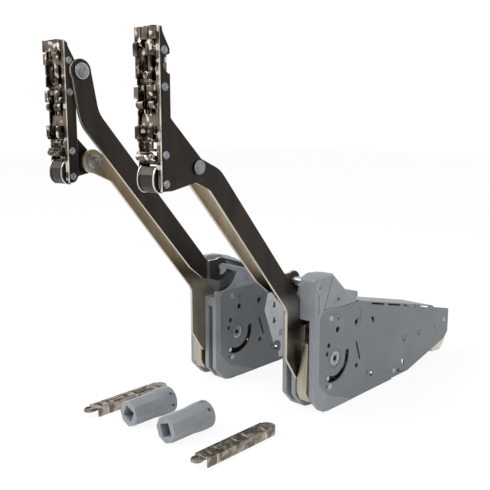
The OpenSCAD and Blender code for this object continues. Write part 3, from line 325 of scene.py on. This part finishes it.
# Arms, bracket plates, release levers and damper tubes
# Stamped steel bars with a black nickel plate: the broad faces turned away from
# the partner arm are nearly black, the faces between the arms get a painted warm
# beige reflection, painted bands of reflection and shade cross some arms, and the
# sheared edges of arms and bracket plates are bare steel painted brighter as a highlight.
def plated_bar(name, reflection_side, rim="#c9c0b2", bands=()):
    """Black nickel on a bar; the second argument is +1 or -1 along X, or 0, the side whose broad faces get a
    painted beige reflection.

    Bands are painted reflections and painted shade across the bar, each (height, reach, hex), in metres.
    """
    made, tree, surface = shader(name, {"Metallic": 0.85, "Roughness": 0.34})
    at = add(tree, "ShaderNodeTexCoord")
    spot = add(tree, "ShaderNodeSeparateXYZ", {}, {0: at.outputs["Object"]})
    faced = add(tree, "ShaderNodeSeparateXYZ", {}, {0: at.outputs["Normal"]})
    stretch = add(tree, "ShaderNodeMapping", {"Scale": (60.0, 60.0, 9.0)}, {"Vector": at.outputs["Object"]})
    cloud = add(tree, "ShaderNodeTexNoise", {"Scale": 1.0, "Detail": 4.0}, {"Vector": stretch.outputs[0]})
    streaks = add(tree, "ShaderNodeMapRange", {"From Min": soft_noise[0], "From Max": soft_noise[1]},
                  {"Value": cloud.outputs["Fac"]})
    tones = []
    # the first pair is the plate's own near black; the second pair is a painted beige reflection
    for dark, light in (("#2a2623", "#36302b"), ("#a09380", "#b3a792")):
        tone = add(tree, "ShaderNodeMix", {"data_type": "RGBA", 6: linear(dark), 7: linear(light)},
                   {"Factor": streaks.outputs["Result"]})
        # each band paints a reflection or a shade across the bar at one height
        for height, reach, colour in bands:
            off = add(tree, "ShaderNodeMath", {"operation": "SUBTRACT", 1: height}, {0: spot.outputs["Z"]})
            gap = add(tree, "ShaderNodeMath", {"operation": "ABSOLUTE"}, {0: off.outputs[0]})
            painted_band = add(tree, "ShaderNodeMapRange",
                       {"interpolation_type": "SMOOTHSTEP", "From Min": 0.0, "From Max": reach,
                        "To Min": 1.0, "To Max": 0.0}, {"Value": gap.outputs[0]})
            tone = add(tree, "ShaderNodeMix", {"data_type": "RGBA", 7: linear(colour)},
                       {"Factor": painted_band.outputs["Result"], 6: tone.outputs[2]})
        tones.append(tone.outputs[2])
    broad = tones[0]
    # faces that turn to the given side get the painted beige reflection
    if reflection_side:
        between = add(tree, "ShaderNodeMath", {"operation": "MULTIPLY", 1: float(reflection_side)},
                      {0: faced.outputs["X"]})
        share = add(tree, "ShaderNodeMapRange", {"From Min": 0.3, "From Max": 0.7},
                    {"Value": between.outputs[0]})
        broad = add(tree, "ShaderNodeMix", {"data_type": "RGBA"},
                    {"Factor": share.outputs["Result"], 6: tones[0], 7: tones[1]}).outputs[2]
    # faces that do not point along X, the sheared edges, get the rim colour: bare steel painted brighter as a
    # highlight
    flat_on = add(tree, "ShaderNodeMath", {"operation": "ABSOLUTE"}, {0: faced.outputs["X"]})
    edge = add(tree, "ShaderNodeMapRange", {"From Min": 0.55, "From Max": 0.9, "To Min": 1.0, "To Max": 0.0},
               {"Value": flat_on.outputs[0]})
    whole = add(tree, "ShaderNodeMix", {"data_type": "RGBA", 7: linear(rim)},
                {"Factor": edge.outputs["Result"], 6: broad})
    tree.links.new(whole.outputs[2], surface.inputs["Base Color"])
    grain_and_gloss(tree, surface, grain=(1400.0, 3.0, 0.01, 0.3), gloss=(220.0, 0.30, 0.42))
    return made


# the bands of these bars are painted shade at a bend and painted reflections on the feet
nickel_in_plus = plated_bar("black_nickel_bar_painted_reflection_right", 1, bands=((0.128, 0.026, "#2e2925"),))
nickel_in_minus = plated_bar("black_nickel_bar_painted_reflection_left", -1)
nickel_near_foot = plated_bar(
    "black_nickel_bar_painted_sheen_foot", -1,
    bands=((0.108, 0.020, "#8d8884"), (0.074, 0.018, "#6d665e"), (0.050, 0.014, "#4a443d")))
nickel_far_foot = plated_bar(
    "black_nickel_bar_painted_pale_foot", 1, bands=((0.070, 0.050, "#aca594"), (0.128, 0.022, "#7a7367")))
# the bracket plates' cut edges get a near white rim, a painted highlight on the bare steel
nickel_plain = plated_bar("black_nickel_plate", 0, "#f2efe8")
nickel_dark = plated_bar("black_nickel_all_over", 0, "#38332f")
moulded("right_control_arm", nickel_in_plus, 0.35, "right_control")
moulded("left_main_arm", nickel_far_foot, 0.35, "left_lever")
moulded("left_control_arm", nickel_in_minus, 0.35, "left_control")
moulded("right_main_arm", nickel_near_foot, 0.35, "right_lever")
for side in both:
    for name in ("bracket_outer", "bracket_inner"):
        moulded(side + name, nickel_plain, 0.25, side + "bracket")
dress([side + "damper_tube" for side in both], nickel_dark, 0.3)
for side in both:
    moulded(side + "release_lever", nickel_dark, 0.3, side + "release")


# Carriers and door plates
# Deep drawn and folded sheet, bright nickel over polished steel: the room mirrored in every
# bend and rib is painted on as light and dark brown patches of a few millimetres.
# the brown patches and the pale glints of this finish are painted reflections and painted highlights
bright_nickel = mottled(
    "bright_nickel_stamping", {"Metallic": 1.0, "Roughness": 0.22}, ("#3a332c", "#776c5f", "#d8d3ca"),
    [(110.0, 0.0, 0.4, 0.62), (230.0, 0.0, 0.62, 0.7)],
    grain=(260.0, 2.0, 0.12, 0.6), gloss=(240.0, 0.16, 0.34))
dress([side + "carrier" for side in both], bright_nickel, 0.2)
# the door plates' softer patches are painted reflections as well
satin_nickel = mottled(
    "satin_nickel_stamping", {"Metallic": 1.0, "Roughness": 0.28}, ("#6a6359", "#a49c90"),
    [(130.0, 1.0, 0.4, 0.62)], grain=(260.0, 1.0, 0.08, 0.5), gloss=(300.0, 0.2, 0.36))
dress(["door_plate_a", "door_plate_b"], satin_nickel, 0.25)


# Power levers
# Folded sheet steel with a cream zinc plate, brushed by the rollers of the
# press: soft streaks run up the front.
cream_zinc, tree, surface = shader("cream_zinc_plate", {"Metallic": 1.0, "Roughness": 0.36})
at = add(tree, "ShaderNodeTexCoord")
stretch = add(tree, "ShaderNodeMapping", {"Scale": (420.0, 420.0, 40.0)}, {"Vector": at.outputs["Object"]})
brush = add(tree, "ShaderNodeTexNoise", {"Scale": 1.0, "Detail": 3.0}, {"Vector": stretch.outputs[0]})
streaks = add(tree, "ShaderNodeMapRange", {"From Min": soft_noise[0], "From Max": soft_noise[1]},
              {"Value": brush.outputs["Fac"]})
tint = add(tree, "ShaderNodeMix", {"data_type": "RGBA", 6: linear("#a79f8f"), 7: linear("#c3bbaa")},
           {"Factor": streaks.outputs["Result"]})
rough = add(tree, "ShaderNodeMapRange",
            {"From Min": soft_noise[0], "From Max": soft_noise[1], "To Min": 0.28, "To Max": 0.44},
            {"Value": brush.outputs["Fac"]})
bump = add(tree, "ShaderNodeBump", {"Strength": 0.4, "Distance": 0.03 / 1000},
           {"Height": brush.outputs["Fac"]})
tree.links.new(tint.outputs[2], surface.inputs["Base Color"])
tree.links.new(rough.outputs["Result"], surface.inputs["Roughness"])
tree.links.new(bump.outputs["Normal"], surface.inputs["Normal"])
dress([side + "power_lever" for side in both], cream_zinc, 0.3)


# Pins, axles, rivets and rods
# Turned steel with a bright zinc plate: a very fine grain and a cool grey
# shine. The main axles and the heads on the brackets are a darker grey.
bright_zinc = mottled(
    "bright_zinc_turned", {"Metallic": 1.0, "Roughness": 0.3}, ("#9da0a2", "#b4b7b8"),
    [(120.0, 1.0, *soft_noise)], grain=(2400.0, 3.0, 0.02, 0.4), gloss=(500.0, 0.24, 0.4))
rivet_steel = mottled(
    "grey_passivated_steel", {"Metallic": 0.9, "Roughness": 0.36}, ("#74787a", "#8d9193"),
    [(120.0, 1.0, *soft_noise)], grain=(2000.0, 3.0, 0.01, 0.3), gloss=(500.0, 0.28, 0.42))
dress([side + "main_axle" for side in both], rivet_steel, 0.18)
zinc_pieces = ("lever_pins", "main_arm_pin", "control_axle", "control_arm_pin",
               "bracket_rivets", "adjusting_screw", "roller", "damper_rod")
dress([side + name for side in both for name in zinc_pieces], bright_zinc, 0.18)
dress(["plate_rivets"], bright_zinc, 0.18)


# Spring seats, bridges and guide rods
# Cold rolled steel, only oiled: dull grey with darker films of oil.
oiled_steel = mottled(
    "oiled_cold_rolled_steel", {"Metallic": 1.0, "Roughness": 0.42}, ("#7c7b78", "#9c9b98"),
    [(90.0, 3.0, *soft_noise)], grain=(1600.0, 3.0, 0.03, 0.4), gloss=(70.0, 0.3, 0.5))
oiled_pieces = ("spring_seat", "guide_rods", "spring_bridge", "roller_pin")
dress([side + name for side in both for name in oiled_pieces], oiled_steel, 0.3)


# Compression springs
# Oil tempered spring wire, 2.6 mm thick, wound cold: dark blue grey, with the
# drawing lines of the wire as a faint unevenness.
tempered_wire = mottled(
    "oil_tempered_spring_wire", {"Metallic": 1.0, "Roughness": 0.34}, ("#54565a", "#6b6d70"),
    [(150.0, 3.0, *soft_noise)], grain=(1800.0, 3.0, 0.02, 0.4))
for side in both:
    coil = copy_of(side + "springs", side + "coils", tempered_wire)
    weld = coil.modifiers.new("join", "WELD")
    weld.merge_threshold = join_gap
    rounder = coil.modifiers.new("round_wire", "SUBSURF")
    rounder.levels = 1
    rounder.render_levels = 1
    wound = plain_mesh(coil)
    for face in wound.polygons:
        face.use_smooth = True
    coil.modifiers.clear()
    coil.data = wound
    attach(coil, "housings")
    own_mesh(coil)
    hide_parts(side + "springs")


# Rear caps
# Natural acetal, moulded: cream, waxy and a little see-through at its edges.
cream_acetal = mottled(
    "cream_acetal", {"Roughness": 0.4, "Subsurface Weight": 0.1, "IOR": 1.48}, ("#ded8c2", "#e9e4d2"),
    [(50.0, 3.0, *soft_noise)], grain=(1500.0, 3.0, 0.03, 0.4))
moulded("rear_caps", cream_acetal, 0.5, "housings")


# Label on the left unit's inner side plate
# Pale grey polyester film, cut round the fixing hole, with a plain scale of
# ticks and two setting arrows printed in black; glued flat on the plate.
unit_w = 40.0
hand = {"right_": 1, "left_": -1}
joint_at = {joint["name"]: joint.get("pos_m") for joint in frame["joints"]}


def unit_place(side):
    """Turns depth from a unit's outer face, y and z about its lever, in mm, into metres."""
    lever_x, lever_y, lever_z = [1000 * part for part in joint_at[side + "arm_swing"]]
    outer_x = lever_x + hand[side] * unit_w / 2
    return lambda s, y, z: Vector((outer_x - hand[side] * s, lever_y + y, lever_z + z)) / 1000


def from_the_side(place):
    """The same places for outlines of (y, z), with the depth last."""
    return lambda y, z, s: place(s, y, z)


def from_the_front(place):
    """The same places for outlines of (depth, z), with y last."""
    return lambda s, z, y: place(s, y, z)


def rectangle(left, low, right, high):
    """The corners of a rectangle, anticlockwise."""
    return [(left, low), (right, low), (right, high), (left, high)]


def arc_points(centre, radius, start, stop, steps):
    """Points on an arc, from one angle in degrees to another."""
    angles = [math.radians(start + (stop - start) * k / steps) for k in range(steps + 1)]
    return [(centre[0] + radius * math.cos(a), centre[1] + radius * math.sin(a)) for a in angles]


def prism(shape, outline, low, high, place, slot=0):
    """Adds an outline (u, v) carried from w = low to high to a bmesh."""
    near = [shape.verts.new(place(u, v, low)) for u, v in outline]
    far = [shape.verts.new(place(u, v, high)) for u, v in outline]
    made = [shape.faces.new(near), shape.faces.new(far[::-1])]
    for i, corner in enumerate(near):
        j = (i + 1) % len(near)
        made.append(shape.faces.new((near[j], corner, far[i], far[j])))
    for face in made:
        face.material_index = slot


def finish_piece(name, shape, materials, body, width_mm=0.0):
    """Makes a bmesh a piece that rides a body, with rounded edges if a width is given."""
    bmesh.ops.recalc_face_normals(shape, faces=shape.faces)
    mesh = bpy.data.meshes.new(name)
    shape.to_mesh(mesh)
    shape.free()
    for material in materials:
        mesh.materials.append(material)
    obj = bpy.data.objects.new(name, mesh)
    bpy.context.scene.collection.objects.link(obj)
    if width_mm:
        round_edges(obj, width_mm)
    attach(obj, body)


label_film = mottled("pale_grey_polyester_film", {"Roughness": 0.42}, ("#dfe1e2", "#e8e9ea"),
                     [(60.0, 3.0, *soft_noise)], grain=(900.0, 3.0, 0.02, 0.3))
label_print = mottled("black_printing_ink", {"Roughness": 0.5}, ("#2a2b2d",), [],
                      grain=(900.0, 3.0, 0.02, 0.3))

film = (unit_w + 0.02, unit_w + 0.16)
ink = (unit_w + 0.1, unit_w + 0.2)
ringed_hole = (69.0, -34.3)
hole_clear = arc_points(ringed_hole, 8.4, 125, -65, 10)
label_edge = ([(47, 15.6), (63.4, -27.2)] + hole_clear
              + [(73.6, -47.6), (87, -49.6), (87, 7), (59, 35), (53, 35)])
tick_start = (53.2, 24.0)
tick_step = (1.75, -4.6)
tick_wide = 0.5
arrow_y = 64.5
arrow_tops = (22.5, 3.5)
bar_start = 74.0
bar_pitch = 2.2
bar_wide = 0.7
bar_low = -22
bar_high = -14

on_label = from_the_side(unit_place("left_"))
shape = bmesh.new()
prism(shape, label_edge, *film, on_label)
for step in range(9):
    y = tick_start[0] + tick_step[0] * step
    z = tick_start[1] + tick_step[1] * step
    tick_long = 2.6 if step % 3 == 0 else 1.2
    prism(shape, rectangle(y, z, y + tick_long, z + tick_wide), *ink, on_label, 1)
for z in arrow_tops:
    arrow = [(-1.5, 0), (1.5, 0), (1.5, -4.2), (3.5, -4.2), (0, -8), (-3.5, -4.2), (-1.5, -4.2)]
    prism(shape, [(arrow_y + across, z + up) for across, up in arrow], *ink, on_label, 1)
for step in range(5):
    y = bar_start + bar_pitch * step
    prism(shape, rectangle(y, bar_low, y + bar_wide, bar_high), *ink, on_label, 1)
finish_piece("left_scale_label", shape, [label_film, label_print], "housings")


# Rings round the lever axles and the fixing holes
# Collars rolled up from the plates under the same grey coat, and the bright
# turned rings on the heads of the axles.
def turned(shape, centre, profile, place, steps=40):
    """Adds a ring about (y, z) to a bmesh; profile holds (radius, depth), closed if it ends at radius 0."""
    rings = []
    for radius, depth in profile:
        if radius < 0.001:
            rings.append([shape.verts.new(place(depth, *centre))])
            continue
        angles = [2 * math.pi * k / steps for k in range(steps)]
        rings.append([shape.verts.new(place(depth, centre[0] + radius * math.cos(a),
                                            centre[1] + radius * math.sin(a))) for a in angles])
    pairs = list(zip(rings, rings[1:]))
    if len(rings[0]) > 1 and len(rings[-1]) > 1:
        pairs.append((rings[-1], rings[0]))
    for first, second in pairs:
        for k in range(steps):
            a, b = first[k % len(first)], first[(k + 1) % len(first)]
            c, d = second[(k + 1) % len(second)], second[k % len(second)]
            corners = [v for i, v in enumerate((a, b, c, d)) if v not in (a, b, c, d)[:i]]
            shape.faces.new(corners)


hub_centre = (0.0, 0.0)
hub_collar = (hub_centre, 9.6, 10.8)
hole_collar = (ringed_hole, 5.6, 6.6)
collar_root = 0.2
collar_rise = 0.35
head_rim = [(4.4, -0.3), (4.6, 0.3), (6.4, 0.34), (7.0, 0.05), (7.0, -0.3)]
socket_rim = [(3.1, -0.2), (3.2, 0.12), (3.9, 0.12), (4.0, -0.2)]
for side in both:
    place = unit_place(side)
    collar = bmesh.new()
    bright = bmesh.new()
    for face, out, collars in ((0.0, -1, [hub_collar]), (unit_w, 1, [hub_collar, hole_collar])):
        root = face - collar_root * out
        top = face + collar_rise * out
        for centre, inner, outer in collars:
            rolled = [(inner, root), (inner + 0.2, top), (outer - 0.2, top), (outer, root)]
            turned(collar, centre, rolled, place)
        for profile in (head_rim, socket_rim):
            turned(bright, hub_centre, [(radius, face + rise * out) for radius, rise in profile], place)
    finish_piece(side + "hub_collars", collar, [powder_coat], "housings", 0.1)
    finish_piece(side + "axle_rings", bright, [bright_zinc], side + "lever", 0.08)


# Heads of the rivets and pivot pins
# Orbital riveting leaves a crowned rim round a dimple; one head is modelled and
# repeated by Geometry Nodes on the points of each body.
head_profile = [(0.0, 0.3), (0.3, 0.34), (0.42, 0.75), (0.62, 1.0), (0.85, 0.85), (1.0, 0.35), (1.0, -0.4),
                (0.0, -0.4)]
shape = bmesh.new()
turned(shape, (0, 0), head_profile, lambda s, y, z: Vector((s, y, z)), 32)
bmesh.ops.recalc_face_normals(shape, faces=shape.faces)
head_mesh = bpy.data.meshes.new("rivet_head")
shape.to_mesh(head_mesh)
shape.free()
one_head = bpy.data.objects.new("rivet_head", head_mesh)


def repeat_head(name, radius_mm, height_mm, points, material, body):
    """Repeats the head on points (place, direction along X) as one plain mesh that rides a body."""
    cloud = bpy.data.meshes.new(name + "_points")
    cloud.from_pydata([tuple(at) for at, turn in points], [], [])
    turns = cloud.attributes.new("turn", "FLOAT_VECTOR", "POINT")
    for i, (at, turn) in enumerate(points):
        turns.data[i].vector = (0.0, 0.0, 0.0 if turn > 0 else math.pi)
    holder = bpy.data.objects.new(name + "_points", cloud)
    bpy.context.scene.collection.objects.link(holder)
    group = bpy.data.node_groups.new(name + "_repeat", "GeometryNodeTree")
    group.interface.new_socket("Geometry", in_out="INPUT", socket_type="NodeSocketGeometry")
    radius = group.interface.new_socket("Head radius", in_out="INPUT", socket_type="NodeSocketFloat")
    height = group.interface.new_socket("Head height", in_out="INPUT", socket_type="NodeSocketFloat")
    group.interface.new_socket("Geometry", in_out="OUTPUT", socket_type="NodeSocketGeometry")
    source = add(group, "NodeGroupInput")
    one = add(group, "GeometryNodeObjectInfo", {"Object": one_head})
    turn = add(group, "GeometryNodeInputNamedAttribute", {"data_type": "FLOAT_VECTOR", "Name": "turn"})
    size = add(group, "ShaderNodeCombineXYZ", {},
               {"X": source.outputs["Head height"], "Y": source.outputs["Head radius"],
                "Z": source.outputs["Head radius"]})
    many = add(group, "GeometryNodeInstanceOnPoints", {},
               {"Points": source.outputs["Geometry"], "Instance": one.outputs["Geometry"],
                "Rotation": turn.outputs[0], "Scale": size.outputs[0]})
    real = add(group, "GeometryNodeRealizeInstances", {}, {0: many.outputs[0]})
    coat = add(group, "GeometryNodeSetMaterial", {"Material": material}, {"Geometry": real.outputs[0]})
    add(group, "NodeGroupOutput", {}, {0: coat.outputs[0]})
    step = holder.modifiers.new("repeat", "NODES")
    step.node_group = group
    step[radius.identifier] = radius_mm / 1000
    step[height.identifier] = height_mm / 1000
    done = plain_mesh(holder)
    bpy.data.objects.remove(holder)
    done.materials.clear()
    done.materials.append(material)
    for face in done.polygons:
        face.use_smooth = True
    obj = bpy.data.objects.new(name, done)
    bpy.context.scene.collection.objects.link(obj)
    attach(obj, body)


bracket_faces = (11.1, 40.35)  # depths in mm from the unit's outer face, as below
bracket_rivet_y = -207.1
bracket_rivet_z = (186.24, 208.2, 258.24, 284.64)
control_pin = (-197.5, 276.0)
control_pin_end = 45.6
main_pin = (-173.5, 197.5)
main_pin_ends = (10.7, 24.6)
plate_faces = (0.1, unit_w - 0.1)
plate_rivets = ((-7, 42.5), (-7, -28), (115.4, -43.5), (232, -8))
for side in both:
    outward = hand[side]
    place = unit_place(side)
    repeat_head(side + "bracket_rivet_heads", 2.8, 0.9,
                [(place(s, bracket_rivet_y, z), way) for s, way in zip(bracket_faces, (outward, -outward))
                 for z in bracket_rivet_z], rivet_steel, side + "bracket")
    repeat_head(side + "pivot_pin_heads", 5.8, 1.1,
                [(place(control_pin_end, *control_pin), -outward),
                 (place(main_pin_ends[1], *main_pin), -outward),
                 (place(main_pin_ends[0], *main_pin), outward)], rivet_steel, side + "bracket")
    repeat_head(side + "plate_rivet_heads", 2.9, 0.45,
                [(place(s, y, z), way) for y, z in plate_rivets
                 for s, way in zip(plate_faces, (outward, -outward))], bright_zinc, "housings")


# Cover screws
# A pan head of zinc plated steel in the recess of each outer cover's upper
# corner, with a cross slot whose shade is painted as a dark insert.
# a flat near black that paints the shade inside the cross slots
slot_shade_paint = mottled("painted_slot_shade", {"Roughness": 0.7}, ("#1d1e20",), [], grain=(900.0, 3.0, 0.02, 0.3))
screw_at = (-27.2, 76.6)
pan_head = [(0.0, 0.5), (1.0, 0.5), (1.2, -0.2), (2.0, -0.3), (2.6, 0.1), (2.7, 1.6), (0.0, 1.6)]
slot_long = 1.9
slot_half = 0.25
for side in both:
    place = unit_place(side)
    screw = bmesh.new()
    turned(screw, screw_at, pan_head, place, 32)
    for angle in (45, 135):
        c, s = math.cos(math.radians(angle)), math.sin(math.radians(angle))
        slot = [(screw_at[0] + x * c - y * s, screw_at[1] + x * s + y * c)
                for x, y in rectangle(-slot_long, -slot_half, slot_long, slot_half)]
        prism(screw, slot, -0.34, 0.2, from_the_side(place), 1)
    finish_piece(side + "cover_screw", screw, [bright_zinc, slot_shade_paint], "housings")


# Carrier fittings
# Folded strips clinched to each carrier's web: the lobed top block, the slider
# with its two ribs, its opening and ring, the folds below, and the lower block.
lobe_root_y = -208.0
lobe_heights = (292.0, 301.6)
lobes = [(36.2, lobe_root_y)]
for middle in (32.6, 24.4, 16.2):
    lobes += arc_points((middle, -213.0), 3.7, 10, -190, 10)
lobes += [(12.4, lobe_root_y)]

slider_left = 17.7
slider_right = 34.0
slider_low = 261.5
slider_high = 291.5
slider_sheet = (-212.2, -210.8)
opening_at = (26.0, 271.0)
opening_r = 5.0
slider_frame = ([(slider_left, slider_high), (slider_left, slider_low), (slider_right, slider_low),
                 (slider_right, slider_high), (opening_at[0] + opening_r, slider_high)]
                + arc_points(opening_at, opening_r, 0, -180, 10)
                + [(opening_at[0] - opening_r, slider_high)])
rib_reach = (-216.6, -211.0)
ring_at = (26.0, 267.0)
ring_profile = [(1.7, -212.0), (1.7, -213.6), (2.9, -213.6), (2.9, -212.0)]

fold_lefts = (22.6, 26.4, 29.6)
fold_wide = 1.2
fold_high = 262.0
fold_reach = (-211.6, -207.6)
block_sheet = (-211.4, -210.0)
block_low = 217.5
block_high = 238.5
block_face = [(15.8, block_low), (35.4, block_low), (35.4, 229.0), (33.0, block_high),
              (18.4, block_high), (15.8, 229.0)]

ear_lefts = (16.0, 33.0)
ear_wide = 1.6
ear_low = 218.0
ear_high = 230.0
ear_reach = (-216.2, -211.0)

lip_at = (-214.4, 206.4)
lip_width = (16.3, 35.6)
lip = (arc_points(lip_at, 2.9, 100, 270, 10) + [(-208.0, 203.5), (-208.0, 204.9)]
       + arc_points(lip_at, 1.5, 270, 100, 10))
hook_lows = (241.6, 286.0)
hook_widths = ((27.5, 35.2), (15.4, 20.5))
for side in both:
    place = unit_place(side)
    drawn_in_front = from_the_front(place)
    drawn_at_side = from_the_side(place)
    shape = bmesh.new()
    prism(shape, lobes, *lobe_heights, place)
    prism(shape, slider_frame, *slider_sheet, drawn_in_front)
    for rib in (rectangle(slider_left, 262.5, slider_left + 1.5, 283.0),
                rectangle(slider_right - 1.4, 264.5, slider_right, 284.0)):
        prism(shape, rib, *rib_reach, drawn_in_front)
    for left in fold_lefts:
        prism(shape, rectangle(left, block_high, left + fold_wide, fold_high), *fold_reach, drawn_in_front)
    prism(shape, block_face, *block_sheet, drawn_in_front)
    for left in ear_lefts:
        prism(shape, rectangle(left, ear_low, left + ear_wide, ear_high), *ear_reach, drawn_in_front)
    prism(shape, lip, *lip_width, drawn_at_side)
    for low in hook_lows:
        bend = (-212.6, low + 4.0)
        hook = (arc_points(bend, 3.6, 110, 270, 8) + [(-208.0, low + 0.4), (-208.0, low + 1.6)]
                + arc_points(bend, 2.4, 270, 110, 8))
        for width in hook_widths:
            prism(shape, hook, *width, drawn_at_side)
    turned(shape, ring_at, ring_profile, lambda y, s, z, put=place: put(s, y, z), 28)
    finish_piece(side + "carrier_fittings", shape, [bright_nickel], side + "bracket", 0.3)


# Release cups
# The dark cup pressed into the front of each release lever, between two bright
# rims that follow its curve.
worn_nickel = mottled(
    "worn_bright_nickel", {"Metallic": 1.0, "Roughness": 0.2}, ("#b9b2a6", "#e2ddd4"),
    [(200.0, 1.0, *soft_noise)], grain=(700.0, 3.0, 0.03, 0.4))
cup_path = [(-212.0, 200.2), (-214.4, 197.4), (-216.0, 193.8), (-216.5, 189.6), (-216.2, 185.6),
            (-214.6, 182.0), (-211.4, 179.2), (-207.0, 178.7)]
cup_middle = (-209.0, 189.5)
cup_inner = [(y + (cup_middle[0] - y) * 0.13, z + (cup_middle[1] - z) * 0.1) for y, z in cup_path]
cup_body = cup_inner + [(-207.6, 184.0), (-207.6, 196.0)]
cup_width = (17.0, 35.0)
rim_lefts = (16.3, 34.6)
rim_wide = 1.1
for side in both:
    drawn_at_side = from_the_side(unit_place(side))
    cup = bmesh.new()
    prism(cup, cup_body, *cup_width, drawn_at_side)
    for left in rim_lefts:
        prism(cup, cup_path + cup_inner[::-1], left, left + rim_wide, drawn_at_side, 1)
    finish_piece(side + "release_cup", cup, [nickel_dark, worn_nickel], side + "release", 0.25)


# Stampings of the door plates
# Pads pressed up between the cross slots, the rolled rim of the ring end, and the
# bright bands that the clamp strip wears on both side walls.
plate_l = 84.0
ring_r = 5.4
pad_half = 4.6
pad_spans = ((8.6, 14.6), (19.0, 35.6), (41.0, 48.6), (53.2, 70.4), (75.0, 82.0))
strip_lefts = (-3.2, 1.6)
strip_wide = 1.6
wall_lefts = (-8.05, 7.75)
wall_thick = 0.3
band_half = 7.6
band_wide = 1.2
for name in ("door_plate_a", "door_plate_b"):
    low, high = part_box(name)
    middle = (low.x + high.x) * 500
    start = low.y * 1000 + 2 * ring_r
    stop = start + plate_l
    top = high.z * 1000

    def flat(x, y, z, middle=middle):
        """Turns a place across the plate, along it and above the table, in mm, into metres."""
        return Vector((middle + x, y, z)) / 1000

    pads = bmesh.new()
    for first, last in pad_spans:
        prism(pads, rectangle(-pad_half, start + first, pad_half, start + last), top - 0.4, top + 0.45, flat)
        if last - first > 12:
            for left in strip_lefts:
                strip = rectangle(left, start + first + 2, left + strip_wide, start + last - 2)
                prism(pads, strip, top + 0.2, top + 1.0, flat)
    ring_rim = [(3.3, top - 1.6), (3.5, top + 0.3), (4.8, top + 0.3), (5.3, top - 1.6)]
    turned(pads, (0, start - ring_r), ring_rim, lambda z, x, y, put=flat: put(x, y, z))
    finish_piece(name + "_pads", pads, [satin_nickel], "housings", 0.2)
    bands = bmesh.new()
    for y in (start + 10.9, stop - 11.1):
        for left in wall_lefts:
            prism(bands, rectangle(left, y, left + wall_thick, y + band_wide), 0.6, top - 0.6, flat)
        prism(bands, rectangle(-band_half, y, band_half, y + band_wide), top - 0.2, top + 0.15, flat)
    finish_piece(name + "_bands", bands, [worn_nickel], "housings")
